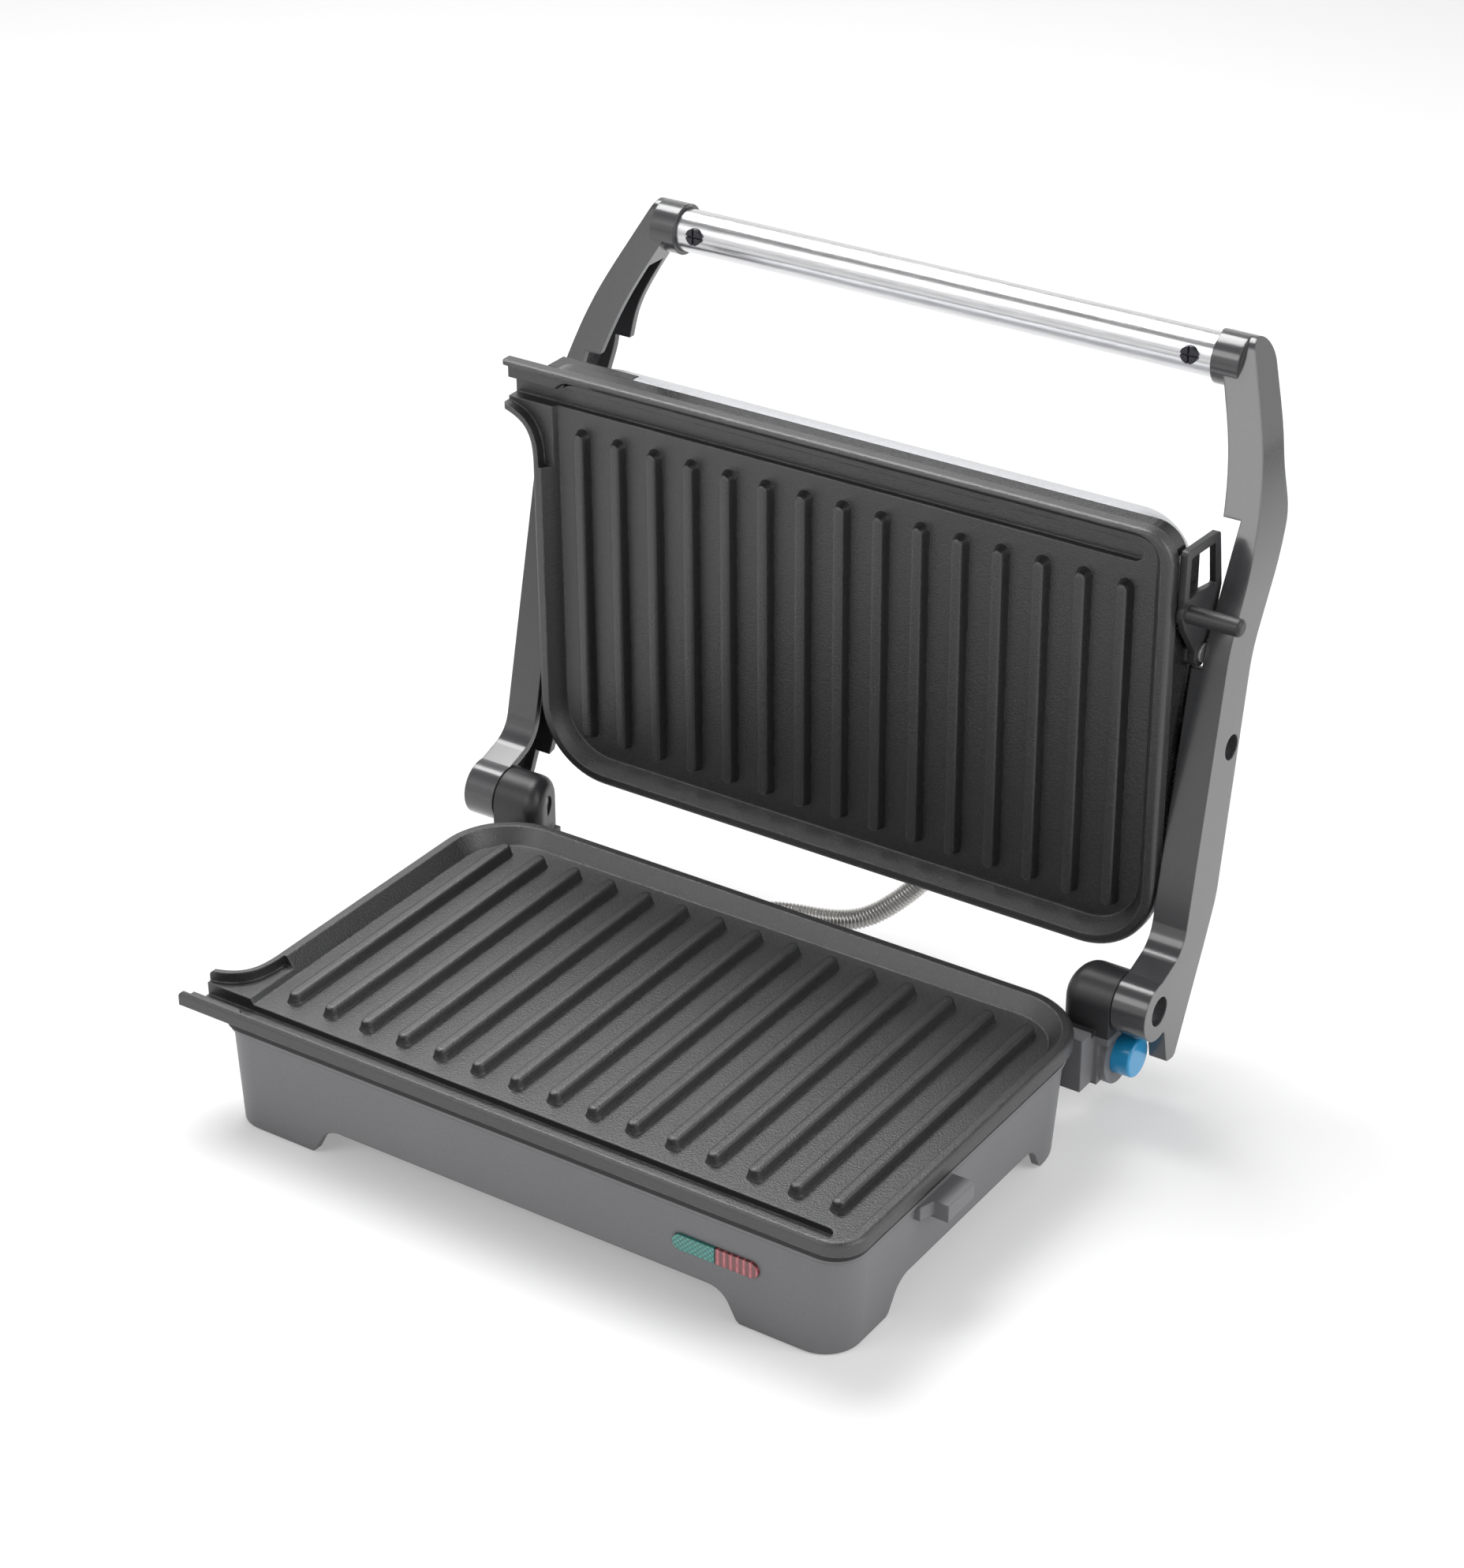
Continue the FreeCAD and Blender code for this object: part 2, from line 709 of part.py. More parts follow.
def hinge_washers():
    gap = arm_inner - tower_outer
    washer = tube(vec(tower_outer + 0.05, hinge_y, hinge_z), AX, 7.0, hinge_pin_radius + 0.1, gap - 0.1)
    return pair(washer)


def arm_profile():
    """Side outline of an arm, standing as it does when the press is open."""
    return [(160.6, 229.6, 5.0), (138.8, 188.6, 55.0), (117.2, 148.2, 42.0), (97.3, 55.4, 11.0),
            (78.8, 48.9, 2.0), (80.0, 38.0, 1.0), (87.6, 31.0, 1.0), (90.2, 19.0, 1.2), (95.4, 18.2, 2.2),
            (117.9, 64.3, 30.0), (132.9, 141.8, 40.0), (154.6, 178.8, 18.0), (155.4, 193.2, 25.0),
            (170.6, 224.6, 6.0)]


def arm_plan(outer, inner):
    """Band seen from the front that the arm fills: almost upright, then leaning in to the handle."""
    lean = [(0.0, 0.0), (0.35, 0.12), (0.62, 0.38), (0.8, 0.66), (1.0, 1.0)]
    span = arm_top_z - arm_bend_z
    out = [vec(outer - arm_taper - (arm_top_shift - arm_taper) * share, 0, arm_bend_z + span * part)
           for part, share in lean]
    out.append(out[-1] + (out[-1] - out[-2]))
    width = vec(outer - inner, 0, 0)
    curve_out = Part.BSplineCurve()
    curve_out.interpolate(out, InitialTangent=AZ, FinalTangent=out[-1] - out[-2])
    curve_in = curve_out.copy()
    curve_in.translate(-width)
    knee = vec(outer, 0, hinge_z + drum_radius)
    low = vec(outer, 0, 0)
    corners = [out[-1], out[-1] - width, out[0] - width, knee - width, low - width, low, knee, out[0]]
    edges = [curve_out.toShape(), curve_in.toShape()]
    for i in (0, 2, 3, 4, 5, 6):
        edges.append(Part.LineSegment(corners[i], corners[i + 1]).toShape())
    return Part.Face(Part.Wire(Part.__sortEdges__(edges)))


def inset_profile(inset):
    face = Part.Face(rounded(arm_profile(), upright(0)))
    if inset == 0:
        return face
    return face.makeOffset2D(-inset, 0)


def arm_band(outer, inner):
    return arm_plan(outer, inner).extrude(vec(0, 260, 0))


def button_relief():
    """Room on the inner side of the arm for the release button to pass behind the drum."""
    clear = button_face + 0.6
    far = hinge_z - button_z + button_radius + 1.2
    near = hinge_z - button_z - button_radius - 1.0
    ring = tube(vec(bar_end, hinge_y, hinge_z), AX, far, near, clear - bar_end)
    slope = far * math.tan(math.radians(relief_angle))
    wedge = side_prism([(hinge_y, hinge_z, 0), (hinge_y + far + 2, hinge_z + slope, 0),
                        (hinge_y + far + 2, 0, 0), (hinge_y - 4, 0, 0), (hinge_y - 4, hinge_z, 0)],
                       bar_end, clear)
    return ring.common(wedge)


def arm_solid():
    """Right arm: a channel open on its inner side, a drum at the hinge and a collar for the bar."""
    width = arm_outer - 60
    side = inset_profile(0).extrude(vec(width + 80, 0, 0))
    body = side.common(arm_band(arm_outer, arm_inner))
    core = inset_profile(arm_wall).extrude(vec(width + 80, 0, 0))
    hollow = core.common(arm_band(arm_outer - arm_wall, arm_inner - 30))
    body = body.cut(hollow)
    drum = rod(vec(arm_inner, hinge_y, hinge_z), AX, drum_radius, arm_outer - arm_inner)
    pivot = rod(vec(pivot_face, pivot_open_y, pivot_open_z), AX, pivot_recess_radius + 1.8,
                arm_outer - arm_inner - 0.4)
    pivot = pivot.common(inset_profile(0.2).extrude(vec(width + 80, 0, 0)))
    collar = rod(vec(bar_end + 0.9, bar_y, bar_z), AX, collar_radius, 9)
    floor = inset_profile(1.2).extrude(vec(width + 80, 0, 0)).common(
        box(bar_end, arm_outer, 140, 190, bar_z - 11, bar_z + 20)).common(
        arm_band(arm_outer - 1, arm_inner))
    body = fuse([body, drum, pivot, collar, floor])
    tools = [rod(vec(arm_outer - recess_depth, hinge_y, hinge_z), AX, recess_radius, recess_depth + 1),
             rod(vec(arm_inner - 1, hinge_y, hinge_z), AX, hinge_pin_radius + hinge_pin_fit, 20),
             rod(vec(arm_outer - recess_depth - 0.9, pivot_open_y, pivot_open_z), AX, pivot_recess_radius,
                 recess_depth + 3),
             rod(vec(arm_inner - 1, pivot_open_y, pivot_open_z), AX, pivot_pin_radius + 0.05, 20),
             rod(vec(bar_end - 1, bar_y, bar_z), AX, bar_radius + fit_gap / 3, 6.5),
             box(bar_end, arm_inner + notch_depth, 60, 200, notch_low, notch_high),
             button_relief()]
    return cut(body, tools)


def handle_bar():
    start = vec(-bar_end, bar_y, bar_z)
    bar = tube(start, AX, bar_radius, bar_radius - bar_wall, 2 * bar_end)
    reach = bar_end + 4.5
    for side in (-1, 1):
        sleeve = tube(vec(side * bar_end if side > 0 else -reach, bar_y, bar_z), AX, bar_radius,
                      bar_radius - bar_wall, reach - bar_end)
        bar = bar.fuse(sleeve)
    for side in (-1, 1):
        bar = bar.cut(rod(vec(side * handle_screw_x, bar_y - 12, bar_z + 1.2), AY, screw_radius + 0.2, 12))
    return bar.removeSplitter()


def handle_plugs():
    radius = bar_radius - bar_wall - plug_gap
    plug = rod(vec(bar_end + 4.4 - plug_length, bar_y, bar_z), AX, radius, plug_length)
    hole = rod(vec(handle_screw_x, bar_y - 12, bar_z + 1.2), AY, screw_radius, 14)
    return pair(plug.cut(hole))


def handle_screws():
    front = bar_y - bar_radius - 0.1
    place = vec(handle_screw_x, front + 0.9, bar_z + 1.2)
    shift = screw(place, AY, 8, radius=screw_radius - 0.05)
    seat = rod(vec(handle_screw_x, bar_y, bar_z), AX, bar_radius, 1)
    keep = shift.cut(tube(vec(handle_screw_x - 6, bar_y, bar_z), AX, bar_radius, bar_radius - bar_wall, 12).cut(
        rod(vec(handle_screw_x, bar_y - 12, bar_z + 1.2), AY, screw_radius + 0.2, 12)))
    return pair(keep)


def lid_pivot_screws():
    head_x = arm_outer - recess_depth - 0.9
    head = rod(vec(head_x + 0.05, pivot_open_y, pivot_open_z), AX, pivot_recess_radius - fit_gap, 2.4)
    start = plate_half - 7
    shank = rod(vec(start, pivot_open_y, pivot_open_z), AX, pivot_pin_radius, head_x - start + 0.1)
    pin = head.fuse(shank)
    for k in range(2):
        slot = box(head_x + 1.3, head_x + 4, -2.4, 2.4, -0.5, 0.5)
        slot.rotate(vec(0, 0, 0), AX, 90 * k + 35)
        slot.translate(vec(0, pivot_open_y, pivot_open_z))
        pin = pin.cut(slot)
    return pair(pin)


def shelf_slab(inset, low, high):
    corner = lid_cover_corner - 2
    return slab(plate_half - inset, plate_front + inset, plate_back - inset, corner, corner, low, high)


def lid_frame():
    """Black frame between the upper plate and the cover, with cheeks that carry the pivots and latch."""
    outer = slab(plate_half - frame_inset, plate_front + frame_inset, plate_back - frame_inset,
                 front_corner, back_corner - frame_inset, frame_low, frame_high)
    strip = slab(plate_half - 2.0, plate_front + 2.0, plate_back - 2.0, front_corner - 1,
                 back_corner - 2, lid_rim + seat_gap, frame_low)
    opening = slab(plate_half - frame_width, plate_front + frame_width, plate_back - frame_width,
                   front_corner - 4, back_corner - frame_width, 0, 200)
    ring = outer.fuse(strip).cut(opening)
    shelf = shelf_slab(frame_width, lid_skin + seat_gap, shelf_high).cut(
        shelf_slab(shelf_width, 0, 200))
    tongues = [box(x - 5, x + 5, gutter_near - 1, y + 4, lid_skin + 2, shelf_high)
               for x, y in lid_screw_places() if y < 0]
    trough = box(spout_left, gutter_end + 3 + fit_gap, gutter_near - 1.6 - fit_gap,
                 gutter_near + gutter_width + 1.6 + fit_gap, 0, lid_skin + 1.4 + fit_gap)
    x1 = plate_half - frame_inset
    x0 = x1 - cheek_width
    middle = (plate_front + plate_back) / 2
    cheek = box(x0, x1, middle - cheek_half, middle + cheek_half, frame_high - 1, cheek_high)
    boss = rod(vec(x0, pivot_closed_y, pivot_closed_z), AX, pivot_boss_radius, pivot_face - fit_gap - x0)
    web = box(x0, x1, pivot_closed_y - pivot_boss_radius, pivot_closed_y + pivot_boss_radius,
              frame_high, pivot_closed_z)
    corner = box(-x1, -plate_half + 30, plate_front + frame_inset + 2, plate_front + 16,
                 frame_high - 1, cheek_high - 1)
    near, high = closed_point(latch_y, latch_z)
    lug = rod(vec(x0, near, high), AX, latch_boss, latch_x - 0.2 - x0)
    frame = fuse([ring, shelf, cheek, mirrored(cheek), boss, mirrored(boss), web, mirrored(web), corner, lug] + tongues)
    bore = rod(vec(plate_half - 9, pivot_closed_y, pivot_closed_z), AX, pivot_pin_radius + 0.05, 20)
    tools = [bore, mirrored(bore), trough, rod(vec(x0 - 1, near, high), AX, latch_pin_radius + seat_gap, 20)]
    for x, y in lid_screw_places():
        tools.append(rod(vec(x, y, lid_rim), AZ, screw_radius + 0.2, 12))
        tools.append(rod(vec(x, y, lid_rim), AZ, screw_head + 0.2, lid_screw_seat - lid_rim))
    return cut(frame, tools)


def closed_point(y, z):
    """Where a point of the open lid lies when the press is closed."""
    turn = math.radians(lid_turn)
    dy = y - pivot_open_y
    dz = z - pivot_open_z
    return (pivot_closed_y + dy * math.cos(turn) - dz * math.sin(turn),
            pivot_closed_z + dy * math.sin(turn) + dz * math.cos(turn))


def cover_block(shrink):
    half = plate_half - lid_cover_inset - shrink
    front = plate_front + lid_cover_inset + shrink
    back = plate_back - lid_cover_inset - shrink
    top = cover_high - shrink
    low = cover_low if shrink == 0 else cover_low - 1
    corner = lid_cover_corner - shrink
    block = slab(half, front, back, corner, corner, low, top)
    edges = [e for e in block.Edges if e.BoundBox.ZMin > top - 0.01]
    return block.makeFillet(lid_cover_round - shrink, edges)


def lid_cover():
    outside = cover_block(0)
    shell = outside.cut(cover_block(lid_cover_wall))
    x0 = plate_half - frame_inset - cheek_width - fit_gap
    middle = (plate_front + plate_back) / 2
    near, high = closed_point(latch_y, latch_z)
    reach = pivot_boss_radius + fit_gap
    tools = [rod(vec(x0, near, high), AX, latch_boss + fit_gap, 20),
             box(-plate_half - 5, -plate_half + 30 + fit_gap, plate_front - 2, plate_front + 16 + fit_gap,
                 0, cheek_high - 1 + fit_gap),
             rod(lid_entry() + vec(0, -8, 0), AY, conduit_radius + 1.2, 20)]
    for side in (-1, 1):
        lo, hi = (x0, plate_half + 5) if side > 0 else (-plate_half - 5, -x0)
        tools.append(box(lo, hi, middle - cheek_half - fit_gap, middle + cheek_half + fit_gap,
                         0, cheek_high + fit_gap))
        tools.append(rod(vec(lo, pivot_closed_y, pivot_closed_z), AX, reach, hi - lo))
        tools.append(box(lo, hi, pivot_closed_y - reach, pivot_closed_y + reach, 0, pivot_closed_z))
    shell = cut(shell, tools)
    foot = shelf_high + seat_gap
    posts = [rod(vec(x, y, foot), AZ, lid_post_radius, cover_high - foot).common(outside)
             for x, y in lid_screw_places()]
    shell = fuse([shell] + posts)
    for x, y in lid_screw_places():
        shell = shell.cut(rod(vec(x, y, foot), AZ, screw_radius, lid_post_height))
    return shell


def lid_screw_places():
    near = gutter_near + gutter_width + 6.0
    far = plate_back - 8.0
    return [(-72.0, near), (72.0, near), (-60.0, far), (60.0, far)]


def lid_entry():
    return vec(27.0, plate_back - lid_cover_inset, cover_low + 9.0)


def lid_screws():
    screws = []
    for x, y in lid_screw_places():
        screws.append(screw(vec(x, y, lid_screw_seat - seat_gap), AZ, 9, radius=screw_radius - 0.05))
    return screws


def latch_lever():
    """Flat lever with a hooking loop at its end and a round grip that sticks out past the arm."""
    x1 = latch_x + latch_thick
    plate = [(113.0, 147.0, 2.0), (104.6, 158.0, 3.0), (103.4, 168.0, 2.0), (103.6, 183.4, 1.5),
             (124.6, 182.4, 1.5), (127.6, 164.0, 2.0), (125.6, 156.6, 3.0), (120.8, 148.0, 2.0)]
    window = [(106.4, 167.0, 0.8), (106.6, 180.4, 0.8), (122.0, 179.6, 0.8), (124.0, 165.4, 0.8),
              (115.0, 166.8, 0.8)]
    sheet = side_prism(plate, latch_x, x1)
    boss = rod(vec(latch_x, latch_y, latch_z), AX, latch_boss, latch_thick)
    grip = rod(vec(latch_x, latch_grip_y, latch_grip_z), AX, latch_grip_radius, latch_grip_length)
    knuckle = rod(vec(latch_x, latch_grip_y + 0.6, latch_grip_z), AX, latch_grip_radius + 1.4, latch_thick)
    body = fuse([sheet, boss, knuckle, grip])
    tip = [e for e in body.Edges if e.BoundBox.XMin > latch_x + latch_grip_length - 0.01]
    body = body.makeFillet(latch_grip_radius * 0.45, tip)
    return cut(body, [side_prism(window, latch_x - 1, x1 + 1),
                      rod(vec(latch_x - 1, latch_y, latch_z), AX, latch_pin_radius + latch_pin_fit, 10)])


def latch_screw():
    x0 = plate_half - frame_inset - cheek_width + 1
    shank = rod(vec(x0, latch_y, latch_z), AX, latch_pin_radius, latch_x + latch_thick - x0 + 0.15)
    head = rod(vec(latch_x + latch_thick + 0.1, latch_y, latch_z), AX, latch_pin_radius + 1.2, 0.9)
    return shank.fuse(head)


def release_button():
    body = rod(vec(tower_back_inner + 3.9 + button_travel, button_y, button_z), AX, button_radius,
               button_face - tower_back_inner - 3.9 - button_travel)
    edge = [e for e in body.Edges if e.BoundBox.XMin > button_face - 0.01]
    body = body.makeFillet(0.8, edge)
    well = rod(vec(tower_back_inner, button_y, button_z), AX, spring_radius + 0.5, 9.0 + button_travel)
    return body.cut(well)


def button_spring():
    x0 = tower_back_inner - 1.5 + 0.05
    x1 = tower_back_inner + 9.0 + button_travel - 0.05
    return tube(vec(x0, button_y, button_z), AX, spring_radius, spring_radius - 2 * spring_wire, x1 - x0)


def lenses():
    y0 = housing_front + 0.2 - lens_proud
    pill = lens_window(0, y0, y0 + wall + 1.6)
    left = pill.common(box(0, lens_x - 0.15, -200, 200, 0, 60))
    right = pill.common(box(lens_x + 0.15, 200, -200, 200, 0, 60))
    return left, right


def lamp_places():
    return [(lens_x + side * lens_length / 4, lens_z) for side in (-1, 1)]


def indicator_lamps():
    """Two small neon lamps behind the lens."""
    y = housing_front + wall + 3.4
    return [rod(vec(x, y, z), AY, 2.4, 9) for x, z in lamp_places()]


def lamp_holder():
    y = housing_front + wall + 3.6
    block = box(lens_x - 14, lens_x + 14, y + 1, y + 7, lens_z - 5, lens_z + 4.4)
    foot = box(lens_x - 3, lens_x + 3, y + 3, y + 6, arch_height + cover_lift + cover_thick + seat_gap, lens_z - 4)
    return cut(fuse([block, foot]), [rod(vec(x, y, z), AY, 2.45, 20) for x, z in lamp_places()])


def terminal_block():
    z0 = arch_height + cover_lift + cover_thick + 0.05
    x0 = 34.0
    block = box(x0, x0 + 24, 40, 50, z0, z0 + 8)
    tools = []
    for k in range(3):
        tools.append(rod(vec(x0 + 4 + 8 * k, 39, z0 + 4), AY, 1.6, 12))
        tools.append(rod(vec(x0 + 4 + 8 * k, 45, z0 + 4), AZ, 1.4, 6))
    return cut(block, tools)


def cord_gland():
    place = gland_place()
    inside = tube(place + vec(0, -wall - 1.7, 0), AY, 6.6, 3.4, 1.2)
    neck = tube(place + vec(0, -wall - 1.7, 0), AY, 5.1, 3.4, wall + 2.6)
    outside = tube(place + vec(0, 0.5, 0), AY, 7.0, 3.4, 1.6)
    return fuse([inside, neck, outside])


def conduit_points():
    """Route of the spring conduit: out of the back of the base, round and up into the lid."""
    start = conduit_exit()
    opened = open_lid(Part.Vertex(lid_entry())).Point
    return [start + vec(0, -1.0, 0), vec(start.x, 87.0, start.z), vec(3.5, 103.0, 19.8),
            vec(16.0, 117.0, 29.0), opened + vec(0, 0, -6.0), opened + vec(0, 0, 0.8)]


def base_conduit_ferrule():
    start = conduit_exit()
    neck = tube(start + vec(0, -wall - 0.8, 0), AY, conduit_radius + 1.1, conduit_radius + 0.1, wall + 2.0)
    flange = tube(start + vec(0, 0.8, 0), AY, conduit_radius + 2.4, conduit_radius + 0.1, 1.2)
    return fuse([neck, flange])


def lid_conduit_ferrule():
    place = lid_entry()
    neck = tube(place + vec(0, -lid_cover_wall - 0.8, 0), AY, conduit_radius + 1.1, conduit_radius + 0.3,
                lid_cover_wall + 1.6)
    flange = tube(place + vec(0, 0.1, 0), AY, conduit_radius + 2.4, conduit_radius + 0.3, 1.2)
    return fuse([neck, flange])


def spring_conduit():
    points = conduit_points()
    radii = []
    for i in range(1, len(points) - 1):
        back = points[i - 1] - points[i]
        ahead = points[i + 1] - points[i]
        turn = math.pi - back.getAngle(ahead)
        shorter = min(back.Length, ahead.Length)
        radii.append(0.45 * shorter / math.tan(turn / 2))
    print("conduit radii", [round(r, 1) for r in radii], "diameter", 2 * conduit_radius)
    wire = route(points, radii)
    solid = pipe(points, radii, conduit_radius)
    print("conduit volume", round(solid.Volume, 1), "expected",
          round(math.pi * conduit_radius ** 2 * wire.Length, 1), "length", round(wire.Length, 1))
    return solid


def lid_leads():
    """Two heat-proof leads inside the lid, from the thermostat's blades to the right cheek."""
    z = lid_skin + thermostat_height + 4.0
    leads = []
    for k in range(2):
        start = thermostat_x + 4.9 + lead_radius + seat_gap if k else thermostat_x - 4.9 - lead_radius - seat_gap
        y = 12.0 + 5 * k
        high = z + 2.8 * k
        points = [vec(start, -2.0, high), vec(start, y, high), vec(plate_half - 11.0, y, high)]
        leads.append(pipe(points, [5], lead_radius))
    return leads


def base_leads():
    """Three leads from the terminal block towards the thermostat and lamps."""
    z = arch_height + cover_lift + cover_thick + 4.0
    leads = []
    for k in range(3):
        x = 38.0 + 8 * k
        y = 20.0 - 6 * k
        points = [vec(x, 39.95, z), vec(x, y, z), vec(-30.0 - 5 * k, y, z)]
        leads.append(pipe(points, [6], lead_radius))
    return leads


def thermal_fuse():
    z = plate_under - 2.3
    body = rod(vec(-46, 10, z), AX, 2.2, 12)
    wires = rod(vec(-54, 10, z), AX, 0.6, 28)
    return body.fuse(wires)


def plate_studs():
    """Studs that hold the lower plate down on its straps."""
    low = arch_height + cover_lift + cover_thick + 2 * seat_gap
    return [rod(vec(x, 0, low), AZ, stud_radius, plate_under - seat_gap - low) for x in (-stud_x, stud_x)]


def mount_straps():
    """Two steel straps across the housing that carry the studs of the lower plate."""
    z = arch_height + cover_lift + cover_thick + ledge_thick + 2 * seat_gap
    straps = []
    for x in (-stud_x, stud_x):
        strap = box(x - 5, x + 5, housing_front + wall + 1.6, housing_back - wall - 7, z, z + 1.2)
        straps.append(strap.cut(rod(vec(x, 0, 0), AZ, stud_radius + 0.1, 60)))
    return straps


def stud_nuts():
    z = arch_height + cover_lift + cover_thick + ledge_thick + 2 * seat_gap - nut_height - seat_gap
    nuts = []
    for x in (-stud_x, stud_x):
        hexagon = Part.Face(Part.makePolygon([vec(x + 4 * math.cos(math.radians(60 * k)),
                                                  4 * math.sin(math.radians(60 * k)), z) for k in range(7)]))
        nuts.append(hexagon.extrude(vec(0, 0, nut_height)).cut(rod(vec(x, 0, 0), AZ, stud_radius + seat_gap, 60)))
    return nuts


def all_parts():
    plate = grill_plate()
    upper = plate.mirror(vec(0, 0, part_line), AZ)
    arm = arm_solid()
    green, red = lenses()
    low_heater = plate_under - heater_radius - seat_gap
    high_heater = lid_skin + heater_radius + seat_gap
    return {
        "lower_grill_plate": plate,
        "base_housing": base_housing(),
        "base_seal": base_seal(),
        "base_bottom_cover": base_bottom_cover(),
        "foot_pads": foot_pads(),
        "base_cover_screws": cover_screws(),
        "lower_heating_element": heating_element(low_heater),
        "lower_heat_reflector": heat_reflector(plate_under - reflector_gap - reflector_thick, 1),
        "lower_thermostat": thermostat(thermostat_x, 0.0, plate_under - seat_gap, 1),
        "thermal_fuse": thermal_fuse(),
        "lower_plate_studs": plate_studs(),
        "plate_straps": mount_straps(),
        "stud_nuts": stud_nuts(),
        "green_lens": green,
        "red_lens": red,
        "indicator_lamps": indicator_lamps(),
        "lamp_holder": lamp_holder(),
        "terminal_block": terminal_block(),
        "base_leads": base_leads(),
        "cord_gland": cord_gland(),
        "hinge_pins": hinge_pins(),
        "hinge_washers": hinge_washers(),
        "release_button": release_button(),
        "button_spring": button_spring(),
        "right_arm": arm,
        "left_arm": mirrored(arm),
        "handle_bar": handle_bar(),
        "handle_plugs": handle_plugs(),
        "handle_screws": handle_screws(),
        "lid_pivot_screws": lid_pivot_screws(),
        "upper_grill_plate": open_lid(upper),
        "lid_frame": open_lid(lid_frame()),
        "lid_cover": open_lid(lid_cover()),
        "lid_screws": [open_lid(s) for s in lid_screws()],
        "upper_heating_element": open_lid(heating_element(high_heater)),
        "upper_heat_reflector": open_lid(heat_reflector(lid_skin + reflector_gap + reflector_thick, -1)),
        "upper_thermostat": open_lid(thermostat(thermostat_x, 0.0, lid_skin + seat_gap, -1)),
        "lid_leads": [open_lid(s) for s in lid_leads()],
        "lid_ferrule": open_lid(lid_conduit_ferrule()),
        "base_ferrule": base_conduit_ferrule(),
        "spring_conduit": spring_conduit(),
        "latch_lever": latch_lever(),
        "latch_screw": latch_screw(),
    }


def solids_of(shape):
    group = shape if isinstance(shape, list) else [shape]
    found = []
    for item in group:
        found.extend(item.Solids)
    return found


def main():
    os.makedirs("parts", exist_ok=True)
    parts = all_parts()
    everything = Part.makeCompound([s for shape in parts.values() for s in solids_of(shape)])
    bounds = everything.BoundBox
    shift = vec(-(bounds.XMin + bounds.XMax) / 2, -(bounds.YMin + bounds.YMax) / 2, 0)
    print("frame shift", round(shift.x, 4), round(shift.y, 4), "lowest", round(bounds.ZMin, 4))
    print("size", round(bounds.XLength, 2), round(bounds.YLength, 2), round(bounds.ZLength, 2))
    for name, shape in parts.items():
        solids = solids_of(shape)
        for solid in solids:
            if not solid.isValid() or solid.Volume <= 0:
                print("BAD SOLID", name, solid.isValid(), solid.Volume)
        group = solids[0] if len(solids) == 1 else Part.makeCompound(solids)
        group = group.copy()
        group.translate(shift)
        group.exportStep(os.path.join("parts", name + ".step"))
        print(name, len(solids), round(sum(s.Volume for s in solids) / 1000, 2), "cm3")


main()
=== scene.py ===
import math
import bmesh
import bpy
from mathutils import Matrix, Vector


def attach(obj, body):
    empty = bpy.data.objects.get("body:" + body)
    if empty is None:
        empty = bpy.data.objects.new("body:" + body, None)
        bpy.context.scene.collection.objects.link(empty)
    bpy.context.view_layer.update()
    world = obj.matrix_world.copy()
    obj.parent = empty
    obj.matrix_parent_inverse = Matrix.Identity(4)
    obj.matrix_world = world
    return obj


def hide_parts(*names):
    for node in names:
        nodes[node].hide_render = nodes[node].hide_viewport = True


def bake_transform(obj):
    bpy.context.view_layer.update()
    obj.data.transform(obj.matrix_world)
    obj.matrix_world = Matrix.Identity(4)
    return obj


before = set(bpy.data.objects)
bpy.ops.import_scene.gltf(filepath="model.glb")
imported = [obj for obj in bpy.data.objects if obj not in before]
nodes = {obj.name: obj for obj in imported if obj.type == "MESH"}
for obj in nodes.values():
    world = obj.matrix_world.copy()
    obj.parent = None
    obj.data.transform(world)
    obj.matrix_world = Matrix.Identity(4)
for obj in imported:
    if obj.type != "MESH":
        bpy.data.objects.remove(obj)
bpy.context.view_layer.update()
mm = 0.001
shift = Vector((-3.75, -48.288, 0))   # from the press's own middle to the frame's origin, mm
print("frame loaded", len(nodes), "nodes")


def at(x, y, z):
    return (Vector((x, y, z)) + shift) * mm


# ---------- camera, floor and light

view = {"azimuth": 33.629, "elevation": 29.156, "roll": -0.08, "lens": 84.195,
        "place": (537.717, -765.854, 640.996)}


def makeCamera():
    a, e, r = (math.radians(view[k]) for k in ("azimuth", "elevation", "roll"))
    back = Vector((math.sin(a) * math.cos(e), -math.cos(a) * math.cos(e), math.sin(e)))
    right = Vector((0, 0, 1)).cross(back).normalized()
    up = back.cross(right)
    turnedRight = right * math.cos(r) + up * math.sin(r)
    turnedUp = up * math.cos(r) - right * math.sin(r)
    data = bpy.data.cameras.new("camera")
    data.lens = view["lens"]
    data.sensor_width = 36
    data.clip_start = 0.01
    camera = bpy.data.objects.new("camera", data)
    bpy.context.scene.collection.objects.link(camera)
    camera.matrix_world = Matrix.Translation(at(*view["place"])) @ Matrix((turnedRight, turnedUp, back)).transposed().to_4x4()
    bpy.context.scene.camera = camera


